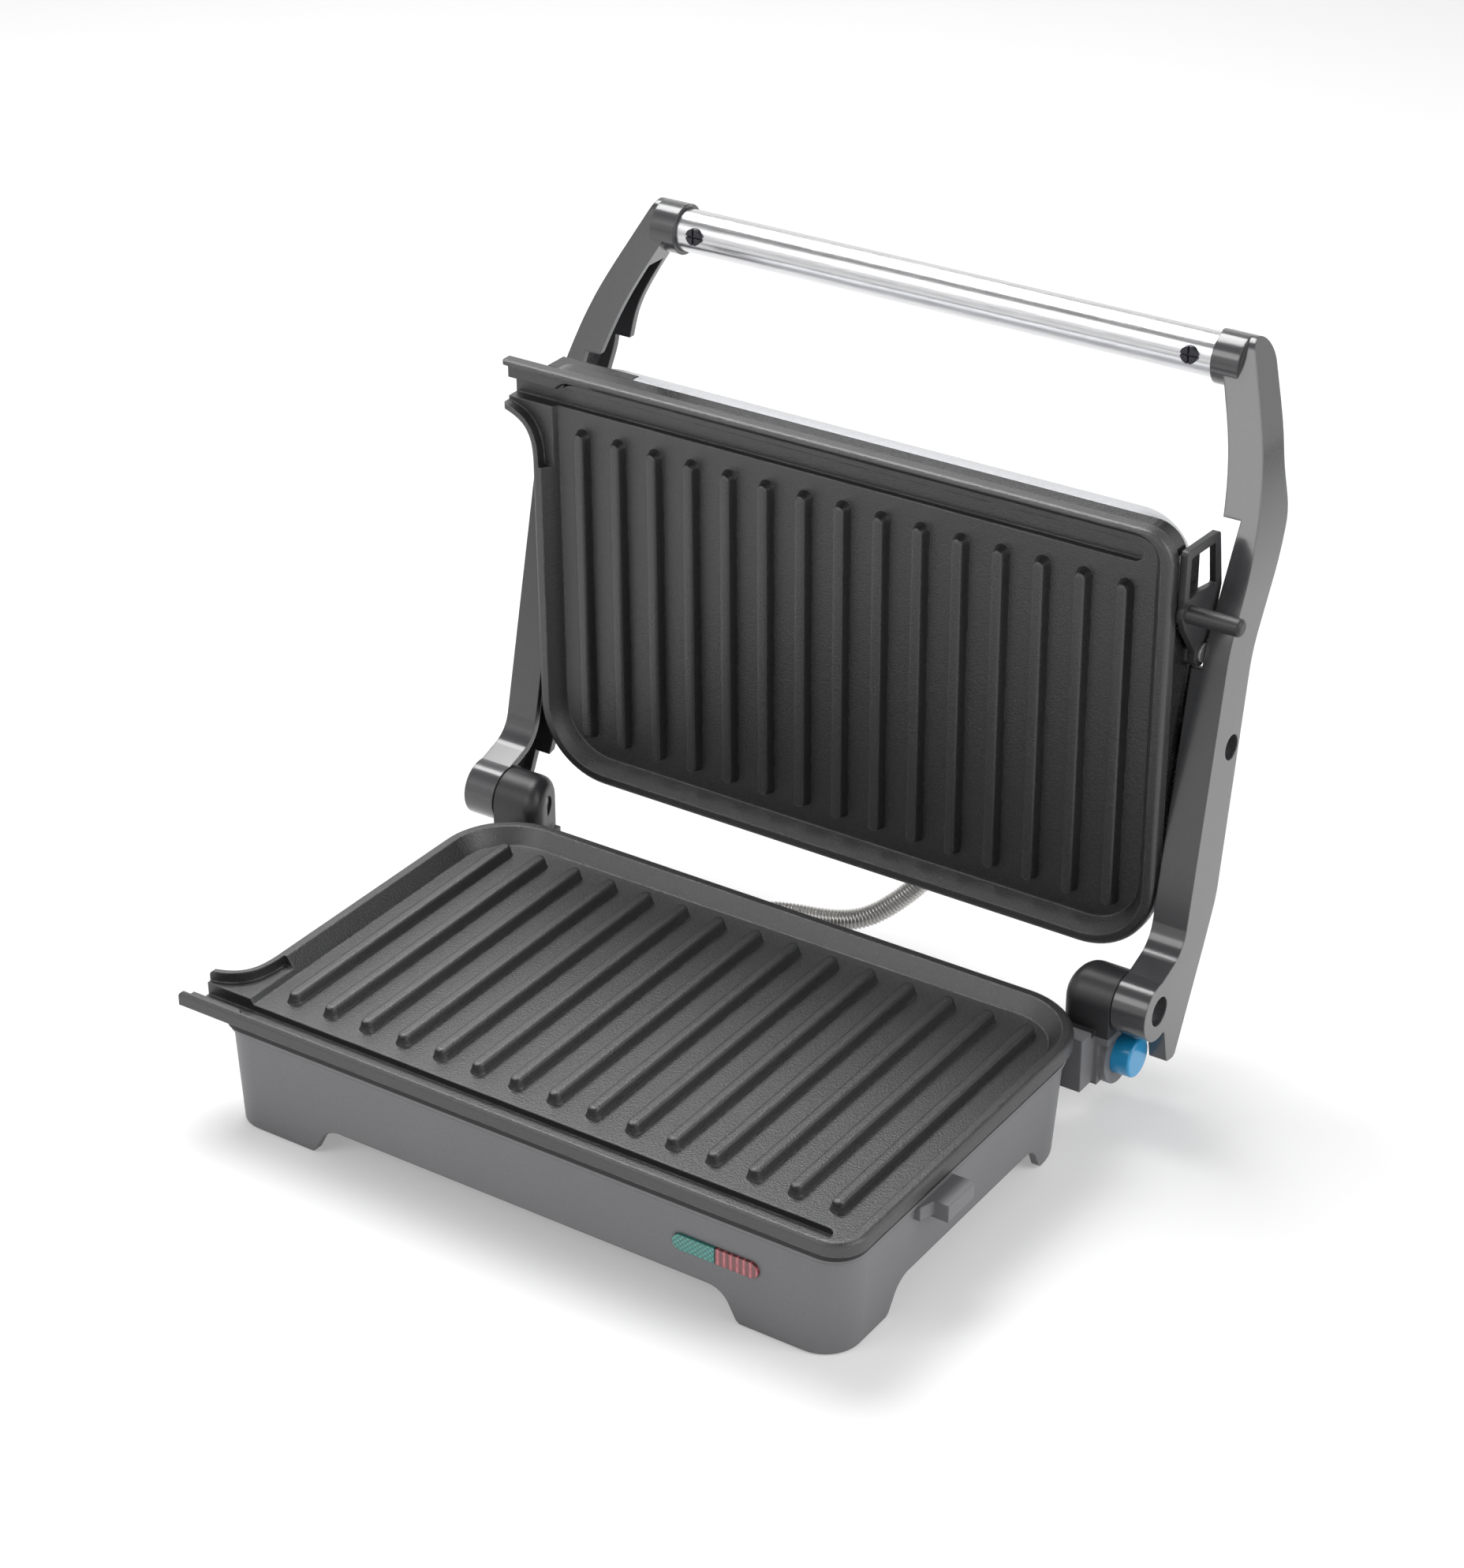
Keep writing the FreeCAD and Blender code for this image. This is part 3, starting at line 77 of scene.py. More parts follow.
class Wire:
    # a shader socket that takes part in Python expressions
    def __init__(self, maker, socket):
        self.maker, self.socket = maker, socket

    def join(self, operation, a, b=0.0):
        return self.maker.node("Math", {"operation": operation}, {0: a, 1: b})["Value"]

    def __add__(self, other): return self.join("ADD", self, other)
    def __radd__(self, other): return self.join("ADD", other, self)
    def __sub__(self, other): return self.join("SUBTRACT", self, other)
    def __rsub__(self, other): return self.join("SUBTRACT", other, self)
    def __mul__(self, other): return self.join("MULTIPLY", self, other)
    def __rmul__(self, other): return self.join("MULTIPLY", other, self)
    def __truediv__(self, other): return self.join("DIVIDE", self, other)
    def __pow__(self, other): return self.join("POWER", self, other)
    def __gt__(self, other): return self.join("GREATER_THAN", self, other)
    def __lt__(self, other): return self.join("LESS_THAN", self, other)
    def __abs__(self): return self.join("ABSOLUTE", self)


class Finish:
    # one procedural material, built node by node
    def __init__(self, name, holder=None):
        self.material = holder or bpy.data.materials.new(name)
        self.material.use_nodes = True
        self.tree = self.material.node_tree
        self.tree.nodes.clear()

    def node(self, kind, settings=None, inputs=None):
        made = self.tree.nodes.new("ShaderNode" + kind)
        for key, value in (settings or {}).items():
            if key == "stops":
                ramp = made.color_ramp
                while len(ramp.elements) < len(value):
                    ramp.elements.new(0.5)
                for element, (place, colour) in zip(ramp.elements, value):
                    element.position = place
                    element.color = colour
            else:
                setattr(made, key, value)
        for key, value in (inputs or {}).items():
            if isinstance(value, Wire):
                self.tree.links.new(value.socket, made.inputs[key])
            else:
                made.inputs[key].default_value = value
        return {s.name: Wire(self, s) for s in made.outputs if s.enabled}

    def place(self):
        return self.node("TexCoord")["Object"]

    def noise(self, scale, detail=4.0, roughness=0.55, where=None):
        return self.node("TexNoise", {}, {"Vector": where or self.place(), "Scale": scale, "Detail": detail,
                                          "Roughness": roughness})["Fac"]

    def stretched(self, scale, turn=(0, 0, 0)):
        return self.node("Mapping", {}, {"Vector": self.place(), "Scale": scale, "Rotation": turn})["Vector"]

    def blend(self, share, first, second):
        return self.node("Mix", {"data_type": "RGBA"}, {0: share, 6: first, 7: second})["Result"]

    def clamp(self, value, low, high):
        return self.node("MapRange", {}, {"Value": value, "From Min": low, "From Max": high})["Result"]

    def edges(self, radius, samples=4):
        # how far the softened normal leans from the real one: 0 on flats, more along edges
        soft = self.node("Bevel", {"samples": samples}, {"Radius": radius})["Normal"]
        flat = self.node("NewGeometry")["Normal"]
        lean = self.node("VectorMath", {"operation": "DOT_PRODUCT"}, {0: soft, 1: flat})["Value"]
        return soft, 1 - lean

    def bump(self, height, strength, distance, normal=None):
        inputs = {"Height": height, "Strength": strength, "Distance": distance}
        if normal is not None:
            inputs["Normal"] = normal
        return self.node("Bump", {}, inputs)["Normal"]

    def surface(self, **inputs):
        shader = self.node("BsdfPrincipled", {}, {k.replace("_", " "): v for k, v in inputs.items()})["BSDF"]
        self.node("OutputMaterial", {}, {"Surface": shader})
        return self.material


def rgb(r, g, b):
    # written as on a screen, 0 to 255
    return tuple((v / 255 / 12.92 if v / 255 < 0.04045 else ((v / 255 + 0.055) / 1.055) ** 2.4) for v in (r, g, b)) + (1,)


studio = {"floorSize": 6.0, "ambient": 0.34, "floorShare": 0.30, "horizonTop": 0.42, "ceilingFrom": 0.75, "ceilingLevel": 0.25,
          "keyPlace": (-0.55, 0.35, 1.35), "keySize": (0.9, 0.7), "keyPower": 20,
          "fillPlace": (1.25, 0.1, 0.85), "fillSize": (0.7, 1.0), "fillPower": 9,
          "backPlace": (-0.5, -1.2, 1.0), "backSize": (0.8, 0.6), "backPower": 5}


def makeStudio():
    mesh = bpy.data.meshes.new("floor")
    half = studio["floorSize"] / 2
    mesh.from_pydata([(-half, -half, 0), (half, -half, 0), (half, half, 0), (-half, half, 0)], [], [(0, 1, 2, 3)])
    floor = bpy.data.objects.new("floor", mesh)
    bpy.context.scene.collection.objects.link(floor)
    paper = Finish("paperFloor")
    rays = paper.node("LightPath")
    seen = paper.node("Math", {"operation": "MAXIMUM"}, {0: rays["Is Camera Ray"], 1: rays["Is Glossy Ray"]})["Value"]
    seen = paper.node("Math", {"operation": "MAXIMUM"}, {0: seen, 1: rays["Is Transmission Ray"]})["Value"]
    matt = paper.node("BsdfDiffuse", {}, {"Color": (0.92, 0.92, 0.92, 1)})["BSDF"]
    glow = paper.node("Emission", {}, {"Color": (1, 1, 1, 1), "Strength": 1.0})["Emission"]
    mixed = paper.node("MixShader", {}, {0: seen * studio["floorShare"], 1: matt, 2: glow})["Shader"]
    paper.node("OutputMaterial", {}, {"Surface": mixed})
    mesh.materials.append(paper.material)

    world = bpy.data.worlds.new("studio")
    bpy.context.scene.world = world
    sky = Finish("studio", world)
    rays = sky.node("LightPath")
    height = sky.node("SeparateXYZ", {}, {"Vector": sky.node("TexCoord")["Generated"]})["Z"]
    ceiling = sky.clamp(height, studio["horizonTop"], studio["ceilingFrom"])
    mirrored = 1 - ceiling * (1 - studio["ceilingLevel"])
    seen = sky.node("Math", {"operation": "MAXIMUM"}, {0: rays["Is Glossy Ray"], 1: rays["Is Transmission Ray"]})["Value"]
    level = studio["ambient"] + seen * (mirrored - studio["ambient"])
    level = level + rays["Is Camera Ray"] * (1 - level)
    glow = sky.node("Background", {}, {"Color": (1, 1, 1, 1), "Strength": level})["Background"]
    sky.node("OutputWorld", {}, {"Surface": glow})

    for name in ("key", "fill", "back"):
        data = bpy.data.lights.new(name, "AREA")
        data.shape = "RECTANGLE"
        data.size, data.size_y = studio[name + "Size"]
        data.energy = studio[name + "Power"]
        lamp = bpy.data.objects.new(name, data)
        bpy.context.scene.collection.objects.link(lamp)
        spot = Vector(studio[name + "Place"])
        aim = (Vector((0, 0, 0.1)) - spot).normalized()
        lamp.matrix_world = Matrix.Translation(spot) @ aim.to_track_quat("-Z", "Y").to_matrix().to_4x4()


makeCamera()
makeStudio()
bpy.context.scene.view_settings.view_transform = "Standard"
print("camera and studio made")


# ---------- finishes

castSizes = {"grain": 1400, "pits": 2300, "wearRadius": 0.0008, "bare": (150, 150, 152), "dark": (20, 20, 21),
             "light": (40, 40, 42)}


def castCoating(name="castCoating"):
    # sprayed non-stick coat over rough cast aluminium, rubbed lighter along its edges
    f = Finish(name)
    grain = f.noise(castSizes["grain"], 3, 0.6)
    pits = f.noise(castSizes["pits"], 2, 0.5)
    cloud = f.noise(26, 4, 0.6)
    soft, lean = f.edges(castSizes["wearRadius"])
    streak = f.noise(60, 5, 0.75, f.stretched((1, 4, 2)))
    speck = f.clamp(pits, 0.62, 0.74)
    base = f.blend(f.clamp(grain, 0.3, 0.72), rgb(*castSizes["dark"]), rgb(*castSizes["light"]))
    base = f.blend(speck * 0.5, base, rgb(96, 96, 100))
    base = f.blend(f.clamp(cloud, 0.35, 0.75) * 0.3, base, rgb(16, 16, 17))
    worn = f.clamp(lean, 0.02, 0.30) * f.clamp(streak, 0.40, 0.62)
    base = f.blend(worn * 0.75, base, rgb(*castSizes["bare"]))
    normal = f.bump(grain * 0.7 + pits * 0.3, 0.6, 0.0003, soft)
    return f.surface(Base_Color=base, Roughness=0.34 + 0.2 * grain - 0.08 * speck, Metallic=0.0, Normal=normal,
                     Specular_IOR_Level=1.0)


def mouldedPlastic(name, colour, roughness, speckle=0.12, grain=2600, depth=0.00006, radius=0.0007, coat=0.0, tint=None, mask=None):
    # injection-moulded plastic with a fine spark-eroded texture; mask picks a second colour
    f = Finish(name)
    fine = f.noise(grain, 2, 0.5)
    cloud = f.noise(18, 3, 0.5)
    soft, lean = f.edges(radius)
    base = f.blend(f.clamp(fine, 0.35, 0.65) * speckle, rgb(*colour), rgb(*(min(255, c * 1.35 + 6) for c in colour)))
    base = f.blend(f.clamp(cloud, 0.3, 0.8) * 0.16, base, rgb(*(c * 0.8 for c in colour)))
    rough = roughness + 0.10 * fine + 0.05 * cloud
    if mask is not None:
        pick = mask(f)
        second = f.blend(f.clamp(fine, 0.35, 0.65) * speckle, rgb(*tint), rgb(*(c * 1.35 + 6 for c in tint)))
        base = f.blend(pick, base, second)
        rough = rough - 0.06 * pick
    normal = f.bump(fine, 0.35, depth, soft)
    return f.surface(Base_Color=base, Roughness=rough, Normal=normal, Coat_Weight=coat, Coat_Roughness=0.12)


def towerMask(f):
    # the towers and their guide stand behind the back wall and above its rim
    parts = f.node("SeparateXYZ", {}, {"Vector": f.place()})
    back = at(0, 71.6, 0).y
    return (parts["Y"] > back) * (parts["Z"] > 0.0315)


def brushedSteel(name, colour, roughness, along=(1, 40, 40), scale=40, radius=0.0004, bumpDepth=0.00003):
    f = Finish(name)
    lines = f.noise(scale, 5, 0.7, f.stretched(along))
    cloud = f.noise(30, 3, 0.5)
    soft, lean = f.edges(radius)
    base = f.blend(f.clamp(lines, 0.3, 0.7), rgb(*(c * 0.86 for c in colour)), rgb(*colour))
    normal = f.bump(lines, 0.25, bumpDepth, soft)
    return f.surface(Base_Color=base, Metallic=1.0, Roughness=roughness + 0.12 * lines + 0.06 * cloud, Normal=normal)


def silverPaint():
    # fine metallic lacquer on the cover
    f = Finish("silverPaint")
    flake = f.noise(4200, 2, 0.6)
    cloud = f.noise(14, 3, 0.5)
    soft, lean = f.edges(0.0006)
    base = f.blend(f.clamp(flake, 0.35, 0.68), rgb(176, 177, 180), rgb(214, 215, 217))
    base = f.blend(f.clamp(cloud, 0.3, 0.8) * 0.2, base, rgb(168, 169, 172))
    return f.surface(Base_Color=base, Metallic=0.55, Roughness=0.34 + 0.1 * flake, Normal=f.bump(flake, 0.2, 0.00004, soft),
                     Coat_Weight=0.25, Coat_Roughness=0.15)


def lensPlastic(name, colour, glow, diamonds):
    # tinted clear plastic with moulded prisms on its back; its colour carries painted shade in the prism grooves and a
    # painted highlight in the pale glow colour on the crests
    f = Finish(name)
    parts = f.node("SeparateXYZ", {}, {"Vector": f.place()})
    pitch = 0.0017
    if diamonds:
        first = f.node("Math", {"operation": "PINGPONG"}, {0: parts["X"] + parts["Z"], 1: pitch / 2})["Value"]
        second = f.node("Math", {"operation": "PINGPONG"}, {0: parts["X"] - parts["Z"], 1: pitch / 2})["Value"]
        height = (first + second) / pitch
    else:
        height = f.node("Math", {"operation": "PINGPONG"}, {0: parts["X"], 1: 0.0011})["Value"] / 0.0011
    fine = f.noise(900, 3, 0.6)
    # painted shade: the tint is darkened in the prism grooves
    base = f.blend(f.clamp(height, 0.1, 0.9), rgb(*(c * 0.55 for c in colour)), rgb(*colour))
    # painted highlight: the pale glow colour is laid on the prism crests
    base = f.blend(f.clamp(height * 0.8 + fine * 0.5, 0.85, 1.05) * 0.6, base, rgb(*glow))
    soft, lean = f.edges(0.0003)
    normal = f.bump(height, 0.5, 0.0003, soft)
    return f.surface(Base_Color=base, Roughness=0.16 + 0.1 * fine, Normal=normal, Coat_Weight=0.8, Coat_Roughness=0.05,
                     Specular_IOR_Level=0.6)


def rubber(name, colour, roughness=0.72, scale=1400):
    f = Finish(name)
    fine = f.noise(scale, 3, 0.6)
    soft, lean = f.edges(0.0004)
    base = f.blend(f.clamp(fine, 0.3, 0.7), rgb(*(c * 0.8 for c in colour)), rgb(*(c * 1.15 + 2 for c in colour)))
    return f.surface(Base_Color=base, Roughness=roughness + 0.12 * fine, Normal=f.bump(fine, 0.4, 0.00008, soft))


def enamel(name, colour, roughness, scale=700):
    # inner parts: painted, moulded or glazed, each with its own mottling
    f = Finish(name)
    fine = f.noise(scale, 4, 0.6)
    blotch = f.noise(90, 3, 0.5)
    base = f.blend(f.clamp(fine, 0.3, 0.7) * 0.6, rgb(*colour), rgb(*(c * 0.78 for c in colour)))
    base = f.blend(f.clamp(blotch, 0.4, 0.8) * 0.3, base, rgb(*(min(255, c * 1.2 + 8) for c in colour)))
    return f.surface(Base_Color=base, Roughness=roughness + 0.1 * fine, Normal=f.bump(fine, 0.3, 0.00006))


finishes = {
    "cast": castCoating(),
    "housing": mouldedPlastic("housingSatin", (112, 112, 114), 0.38, 0.10, tint=(40, 40, 42), mask=towerMask),
    "arm": mouldedPlastic("armGloss", (66, 66, 68), 0.14, 0.06, grain=900, depth=0.00002, radius=0.0008, coat=0.6),
    "frame": mouldedPlastic("lidFrameBlack", (18, 18, 19), 0.2, 0.08, coat=0.35),
    "latch": mouldedPlastic("latchBlack", (40, 40, 42), 0.34, 0.1),
    "blue": mouldedPlastic("buttonBlue", (22, 150, 208), 0.22, 0.08, coat=0.5, radius=0.0006),
    "bar": brushedSteel("barSteel", (226, 226, 228), 0.14, along=(2, 60, 60)),
    "plain": brushedSteel("plainSteel", (196, 196, 198), 0.26, along=(20, 20, 20), scale=30),
    "zinc": brushedSteel("zincPlate", (176, 178, 176), 0.34, along=(10, 10, 10), scale=90),
    "dark": brushedSteel("darkScrew", (74, 74, 78), 0.30, along=(10, 10, 10), scale=120),
    "cover": silverPaint(),
    "seal": rubber("sealBlack", (20, 20, 21), 0.55),
    "pads": rubber("padRubber", (46, 46, 48)),
    "heater": brushedSteel("heaterSheath", (112, 106, 98), 0.42, along=(8, 8, 8), scale=70),
    "tray": brushedSteel("reflectorSheet", (188, 190, 192), 0.28, along=(3, 30, 30), scale=40),
    "ceramic": enamel("ceramicBody", (222, 216, 204), 0.45),
    "white": enamel("whiteSleeve", (226, 226, 222), 0.5),
    "silicone": rubber("siliconeRed", (170, 30, 32), 0.42, 900),
    "lampGlass": enamel("lampGlass", (232, 196, 160), 0.2),
    # each lens's third colour is the painted highlight on its prism crests
    "green": lensPlastic("greenLens", (20, 150, 138), (150, 236, 222), True),
    "red": lensPlastic("redLens", (168, 60, 70), (222, 140, 146), False),
    "spring": brushedSteel("springSteel", (206, 204, 200), 0.20, along=(30, 30, 30), scale=60, radius=0.0002),
}
wear = {
    "cast": ["lower_grill_plate", "upper_grill_plate"],
    "housing": ["base_housing"],
    "arm": ["right_arm", "left_arm"],
    "frame": ["lid_frame", "handle_plugs"],
    "latch": ["latch_lever", "cord_gland", "base_bottom_cover", "lamp_holder"],
    "blue": ["release_button"],
    "bar": ["handle_bar"],
    "dark": ["handle_screws", "cover_screws_dark"],
    "zinc": ["base_cover_screws", "lid_screws", "stud_nuts", "plate_straps", "latch_screw"],
    "plain": ["hinge_pins", "lid_pivot_screws", "hinge_washers", "lower_plate_studs", "button_spring",
              "base_ferrule", "lid_ferrule"],
    "spring": ["spring_conduit"],
    "cover": ["lid_cover"],
    "seal": ["base_seal"],
    "pads": ["foot_pads"],
    "heater": ["lower_heating_element", "upper_heating_element"],
    "tray": ["lower_heat_reflector", "upper_heat_reflector"],
    "ceramic": ["lower_thermostat", "upper_thermostat", "thermal_fuse"],
    "white": ["terminal_block", "base_leads"],
    "silicone": ["lid_leads"],
    "lampGlass": ["indicator_lamps"],
    "green": ["green_lens"],
    "red": ["red_lens"],
}
for finish, names in wear.items():
    for name in names:
        if name in nodes:
            mesh = nodes[name].data
            mesh.materials.clear()
            mesh.materials.append(finishes[finish])
print("finishes laid on the packed nodes")


# ---------- helpers for new pieces

def addPiece(name, mesh, finish=None):
    piece = bpy.data.objects.new(name, mesh)
    bpy.context.scene.collection.objects.link(piece)
    if finish:
        mesh.materials.clear()
        mesh.materials.append(finishes[finish])
    return piece


def loft(rings, closeEnds=True, cyclic=True):
    # skin through rings of equal length
    bm = bmesh.new()
    grid = [[bm.verts.new(p) for p in ring] for ring in rings]
    count = len(rings[0])
    for low, high in zip(grid[:-1], grid[1:]):
        for i in range(count if cyclic else count - 1):
            j = (i + 1) % count
            bm.faces.new((low[i], low[j], high[j], high[i]))
    if closeEnds:
        bm.faces.new(list(reversed(grid[0])))
        bm.faces.new(grid[-1])
    bmesh.ops.remove_doubles(bm, verts=bm.verts, dist=1e-7)
    bmesh.ops.recalc_face_normals(bm, faces=bm.faces)
    mesh = bpy.data.meshes.new("loft")
    bm.to_mesh(mesh)
    bm.free()
    return mesh


def smooth(mesh, angle=40):
    mesh.polygons.foreach_set("use_smooth", [True] * len(mesh.polygons))
    mesh.set_sharp_from_angle(angle=math.radians(angle))
    mesh.update()


def runTree(piece, tree, values):
    # runs a geometry tree on a piece and keeps the result as its plain mesh
    modifier = piece.modifiers.new("tree", "NODES")
    modifier.node_group = tree
    for item in tree.interface.items_tree:
        if item.item_type == "SOCKET" and item.in_out == "INPUT" and item.name in values:
            modifier[item.identifier] = values[item.name]
    graph = bpy.context.evaluated_depsgraph_get()
    result = bpy.data.meshes.new_from_object(piece.evaluated_get(graph))
    name = piece.name
    bpy.data.objects.remove(piece)
    result.name = name
    made = bpy.data.objects.new(name, result)
    bpy.context.scene.collection.objects.link(made)
    return made


def newTree(name, inputs):
    tree = bpy.data.node_groups.new(name, "GeometryNodeTree")
    tree.interface.new_socket("Geometry", in_out="INPUT", socket_type="NodeSocketGeometry")
    for label, kind, value in inputs:
        socket = tree.interface.new_socket(label, in_out="INPUT", socket_type="NodeSocket" + kind)
        if value is not None:
            socket.default_value = value
    tree.interface.new_socket("Geometry", in_out="OUTPUT", socket_type="NodeSocketGeometry")
    return tree


def grow(tree, kind, settings=None, inputs=None):
    made = tree.nodes.new(kind)
    for key, value in (settings or {}).items():
        setattr(made, key, value)
    for key, value in (inputs or {}).items():
        if isinstance(value, bpy.types.NodeSocket):
            tree.links.new(value, made.inputs[key])
        else:
            made.inputs[key].default_value = value
    return made


# ---------- ribs of both plates

ribSizes = {"count": 15, "pitch": 14.0, "front": -53.4, "back": 58.2, "floor": 36.6, "cornerX": 90.0, "cornerY": 47.0,
            "cornerReach": 16.3, "foot": 2.6,
            "section": ((2.95, -0.15), (2.70, 0.14), (2.56, 0.42), (2.38, 1.0), (1.90, 2.80), (1.78, 3.18), (1.60, 3.43),
                        (1.20, 3.54), (0.40, 3.56)),
            "partLine": 42.15, "lidTurn": 89.43, "closed": (2.5, 64.9), "open": (122.2, 114.0)}


def ribMesh():
    # one full-length rib at X = 0: stadium outlines stacked up its rounded section
    s = ribSizes
    rings = []
    low, high = s["front"] + s["foot"], s["back"] - s["foot"]
    for half, z in s["section"]:
        ring = []
        for k in range(9):
            a = math.pi * k / 8
            ring.append(at(math.cos(a) * half, high + math.sin(a) * half, s["floor"] + z))
        for k in range(9):
            a = math.pi + math.pi * k / 8
            ring.append(at(math.cos(a) * half, low + math.sin(a) * half, s["floor"] + z))
        rings.append(ring)
    return loft(rings, closeEnds=True)


def ribTree():
    # a row of ribs; those near the rounded back corners are shorter
    tree = newTree("ribRow", [("Count", "Int", 15), ("Pitch", "Float", 0.014), ("Centre", "Float", 0.0),
                              ("Front", "Float", 0.0), ("Length", "Float", 0.1), ("Corner X", "Float", 0.09),
                              ("Corner Y", "Float", 0.0), ("Reach", "Float", 0.02), ("Material", "Material", None)])
    start = tree.nodes.new("NodeGroupInput").outputs

    def maths(operation, a, b=0.0):
        return grow(tree, "ShaderNodeMath", {"operation": operation}, {0: a, 1: b}).outputs[0]

    step = grow(tree, "ShaderNodeCombineXYZ", {}, {"X": start["Pitch"]})
    last = maths("SUBTRACT", start["Count"], 1.0)
    first = maths("SUBTRACT", start["Centre"], maths("MULTIPLY", maths("MULTIPLY", last, 0.5), start["Pitch"]))
    origin = grow(tree, "ShaderNodeCombineXYZ", {}, {"X": first, "Y": start["Front"]})
    line = grow(tree, "GeometryNodeMeshLine", {"mode": "OFFSET", "count_mode": "TOTAL"},
                {"Count": start["Count"], "Start Location": origin.outputs[0], "Offset": step.outputs[0]})
    home = grow(tree, "ShaderNodeCombineXYZ", {}, {"X": maths("MULTIPLY", start["Centre"], -1.0),
                                                   "Y": maths("MULTIPLY", start["Front"], -1.0)})
    unit = grow(tree, "GeometryNodeTransform", {}, {"Geometry": start["Geometry"], "Translation": home.outputs[0]})
    where = grow(tree, "ShaderNodeSeparateXYZ", {}, {0: grow(tree, "GeometryNodeInputPosition").outputs[0]})
    side = maths("ABSOLUTE", maths("SUBTRACT", where.outputs["X"], start["Centre"]))
    over = maths("MAXIMUM", maths("SUBTRACT", side, start["Corner X"]), 0.0)
    rise = maths("SQRT", maths("MAXIMUM", maths("SUBTRACT", maths("MULTIPLY", start["Reach"], start["Reach"]),
                                                maths("MULTIPLY", over, over)), 0.0))
    backLine = maths("ADD", start["Corner Y"], rise)
    reach = maths("DIVIDE", maths("SUBTRACT", backLine, start["Front"]), start["Length"])
    share = maths("MINIMUM", reach, 1.0)
    isCorner = grow(tree, "FunctionNodeCompare", {"data_type": "FLOAT", "operation": "GREATER_THAN"}, {0: over, 1: 1e-6})
    size = grow(tree, "GeometryNodeSwitch", {"input_type": "FLOAT"}, {0: isCorner.outputs[0], 1: 1.0, 2: share})
    scale = grow(tree, "ShaderNodeCombineXYZ", {}, {"X": 1.0, "Y": size.outputs[0], "Z": 1.0})
    row = grow(tree, "GeometryNodeInstanceOnPoints", {}, {"Points": line.outputs[0], "Instance": unit.outputs[0],
                                                          "Scale": scale.outputs[0]})
    real = grow(tree, "GeometryNodeRealizeInstances", {}, {0: row.outputs[0]})
    coat = grow(tree, "GeometryNodeSetMaterial", {}, {"Geometry": real.outputs[0], "Material": start["Material"]})
    end = tree.nodes.new("NodeGroupOutput")
    tree.links.new(coat.outputs[0], end.inputs[0])
    return tree


def openLid():
    # closed lid to open lid, in metres
    s = ribSizes
    closed = at(0, *s["closed"])
    opened = at(0, *s["open"])
    return Matrix.Translation(opened) @ Matrix.Rotation(-math.radians(s["lidTurn"]), 4, "X") @ Matrix.Translation(-closed)


def makeRibs():
    s = ribSizes
    tree = ribTree()
    front = at(0, s["front"], 0).y
    values = {"Count": s["count"], "Pitch": s["pitch"] * mm, "Centre": at(0, 0, 0).x, "Front": front,
              "Length": (s["back"] - s["front"]) * mm, "Corner X": s["cornerX"] * mm,
              "Corner Y": at(0, s["cornerY"], 0).y, "Reach": s["cornerReach"] * mm, "Material": finishes["cast"]}
    lower = runTree(addPiece("lowerRibs", ribMesh()), tree, values)
    upper = runTree(addPiece("upperRibs", ribMesh()), tree, values)
    mirror = Matrix.Translation((0, 0, 2 * s["partLine"] * mm)) @ Matrix.Diagonal((1, 1, -1, 1))
    upper.data.transform(openLid() @ mirror)
    bm = bmesh.new()
    bm.from_mesh(upper.data)
    bmesh.ops.recalc_face_normals(bm, faces=bm.faces)
    bm.to_mesh(upper.data)
    bm.free()
    for piece, body in ((lower, "base"), (upper, "lid")):
        smooth(piece.data, 50)
        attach(piece, body)


makeRibs()
print("ribs made")


# ---------- steel spring conduit

conduitSizes = {"radius": 3.5, "wire": 0.62, "pitch": 1.18, "core": 3.05,
                "route": ((-20, 69.6, 27), (-20, 79, 27), (-17.2, 89.5, 26.2), (-5, 99, 21.4), (7.5, 106.5, 20.4), (16, 114.4, 26.6),
                          (24, 119.6, 35.2), (27, 120.1, 41.6), (27, 120.1, 47.0)),
                "split": 0.62}


def ringMesh():
    s = conduitSizes
    rings = []
    turns, sides = 20, 6
    middle = (s["radius"] - s["wire"]) * mm
    bm = bmesh.new()
    grid = []
    for i in range(turns):
        a = 2 * math.pi * i / turns
        ring = []
        for k in range(sides):
            b = 2 * math.pi * k / sides
            r = middle + math.cos(b) * s["wire"] * mm
            ring.append(bm.verts.new((math.cos(a) * r, math.sin(a) * r, math.sin(b) * s["wire"] * mm)))
        grid.append(ring)
    for i in range(turns):
        for k in range(sides):
            bm.faces.new((grid[i][k], grid[(i + 1) % turns][k], grid[(i + 1) % turns][(k + 1) % sides], grid[i][(k + 1) % sides]))
    bmesh.ops.recalc_face_normals(bm, faces=bm.faces)
    mesh = bpy.data.meshes.new("ring")
    bm.to_mesh(mesh)
    bm.free()
    smooth(mesh, 80)
    return mesh


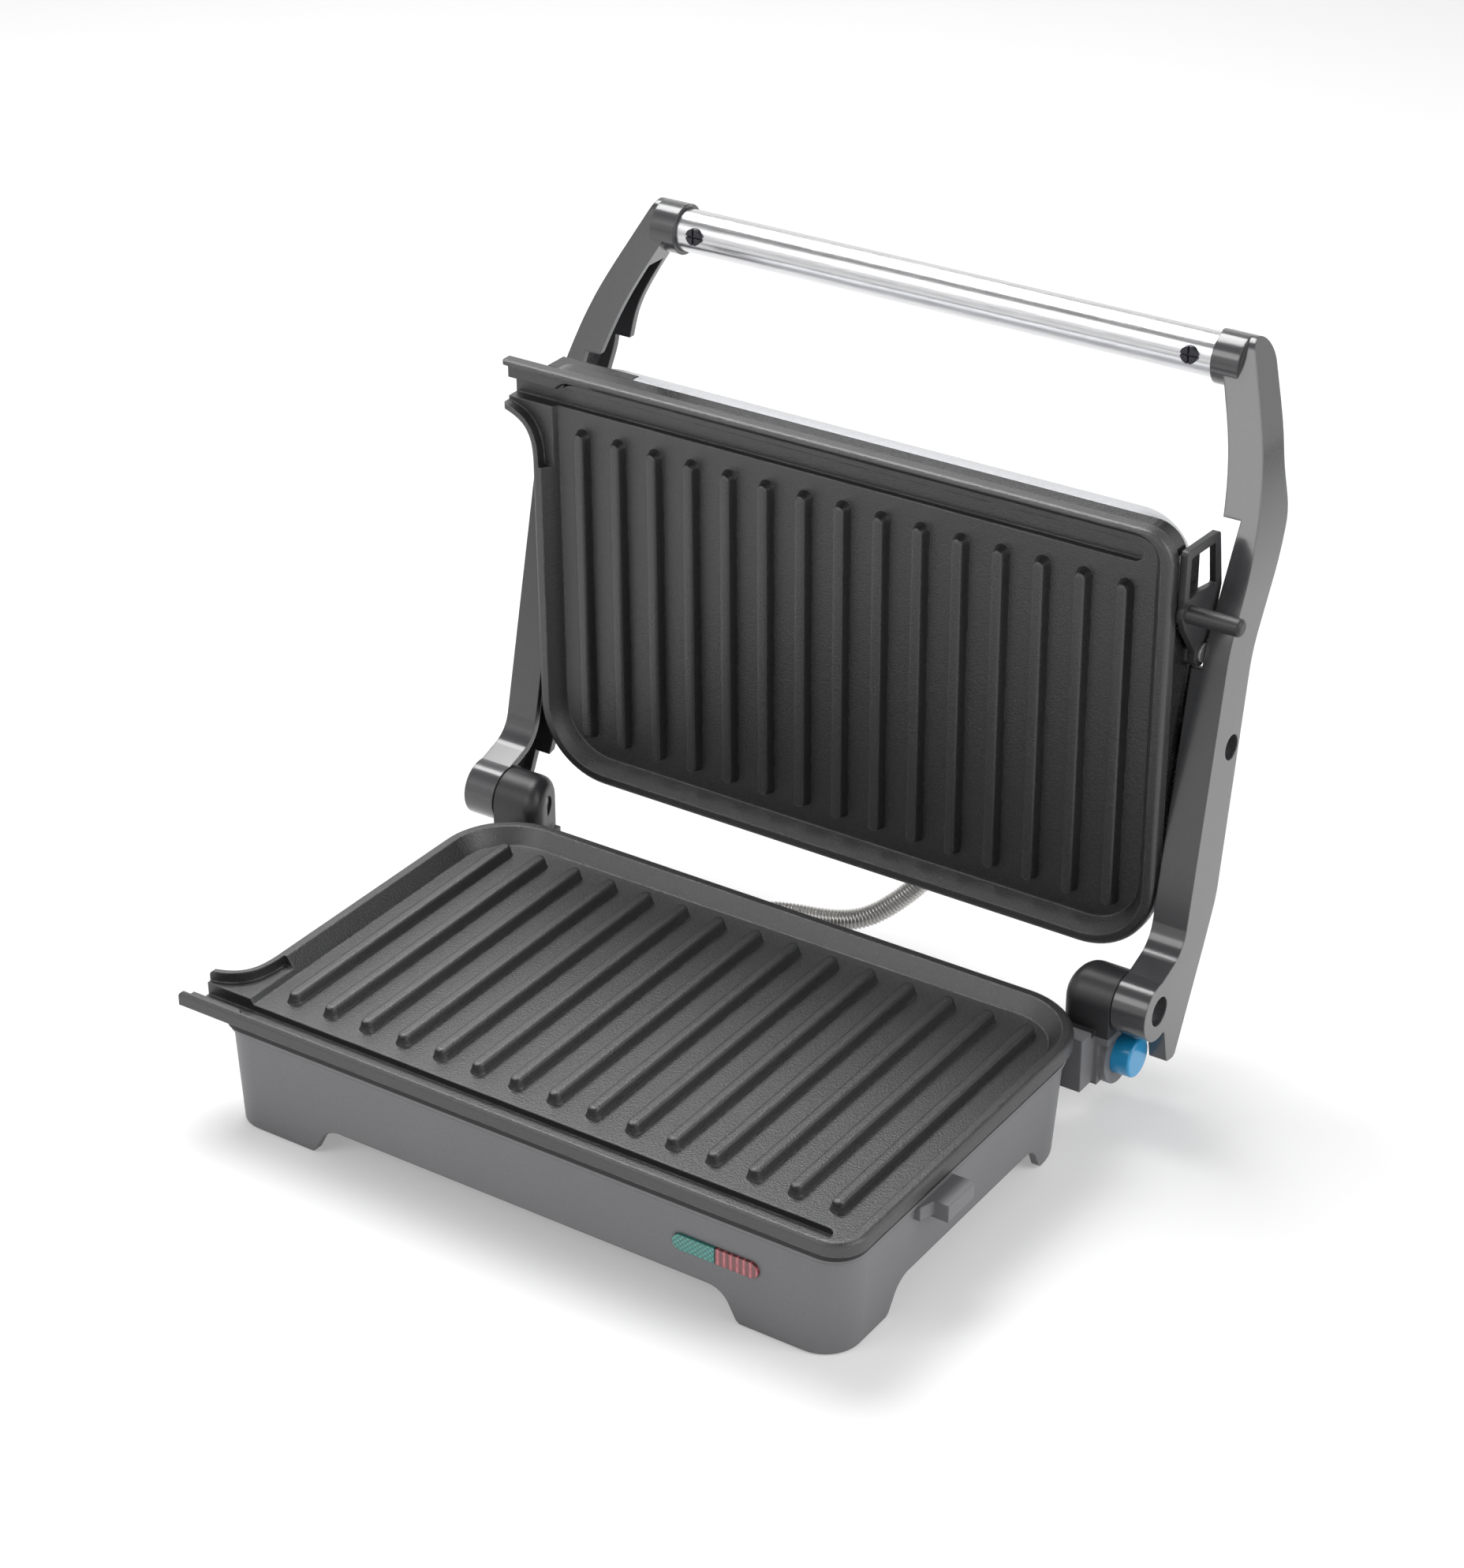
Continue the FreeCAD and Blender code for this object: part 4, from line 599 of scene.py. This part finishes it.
def conduitTree(ring):
    # rings one wire apart along a curve, round a thin core in the same finish
    tree = newTree("windingOnCurve", [("From", "Float", 0.0), ("To", "Float", 1.0), ("Pitch", "Float", 0.001),
                                      ("Core", "Float", 0.003), ("Ring", "Object", None), ("Material", "Material", None)])
    start = tree.nodes.new("NodeGroupInput").outputs
    part = grow(tree, "GeometryNodeTrimCurve", {"mode": "FACTOR"}, {0: start["Geometry"]})
    tree.links.new(start["From"], part.inputs["Start"] if part.inputs["Start"].enabled else part.inputs[2])
    tree.links.new(start["To"], part.inputs["End"] if part.inputs["End"].enabled else part.inputs[3])
    spaced = grow(tree, "GeometryNodeResampleCurve", {"mode": "LENGTH"}, {"Curve": part.outputs[0], "Length": start["Pitch"]})
    tangent = grow(tree, "GeometryNodeInputTangent")
    turn = grow(tree, "FunctionNodeAlignRotationToVector", {"axis": "Z"}, {"Vector": tangent.outputs[0]})
    shape = grow(tree, "GeometryNodeObjectInfo", {}, {"Object": start["Ring"]})
    rings = grow(tree, "GeometryNodeInstanceOnPoints", {}, {"Points": spaced.outputs[0], "Instance": shape.outputs["Geometry"],
                                                            "Rotation": turn.outputs[0]})
    section = grow(tree, "GeometryNodeCurvePrimitiveCircle", {"mode": "RADIUS"}, {"Resolution": 14, "Radius": start["Core"]})
    core = grow(tree, "GeometryNodeCurveToMesh", {}, {"Curve": spaced.outputs[0], "Profile Curve": section.outputs[0], "Fill Caps": True})
    both = grow(tree, "GeometryNodeJoinGeometry")
    tree.links.new(rings.outputs[0], both.inputs[0])
    tree.links.new(core.outputs[0], both.inputs[0])
    real = grow(tree, "GeometryNodeRealizeInstances", {}, {0: both.outputs[0]})
    coat = grow(tree, "GeometryNodeSetMaterial", {}, {"Geometry": real.outputs[0], "Material": start["Material"]})
    end = tree.nodes.new("NodeGroupOutput")
    tree.links.new(coat.outputs[0], end.inputs[0])
    return tree


def makeConduit():
    s = conduitSizes
    ring = addPiece("windingRing", ringMesh())
    tree = conduitTree(ring)
    made = []
    for name, low, high in (("conduitLower", 0.0, s["split"]), ("conduitUpper", s["split"], 1.0)):
        data = bpy.data.curves.new(name, "CURVE")
        data.dimensions = "3D"
        data.resolution_u = 12
        spline = data.splines.new("NURBS")
        spline.points.add(len(s["route"]) - 1)
        for point, place in zip(spline.points, s["route"]):
            point.co = tuple(at(*place)) + (1,)
        spline.order_u = 4
        spline.use_endpoint_u = True
        line = bpy.data.objects.new(name, data)
        bpy.context.scene.collection.objects.link(line)
        made.append(runTree(line, tree, {"From": low, "To": high, "Pitch": s["pitch"] * mm, "Core": s["core"] * mm,
                                         "Ring": ring, "Material": finishes["spring"]}))
    bpy.data.objects.remove(ring)
    lower, upper = made
    for piece in made:
        smooth(piece.data, 80)
    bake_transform(lower)
    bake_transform(upper)
    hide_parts("spring_conduit")


makeConduit()
print("conduit made")
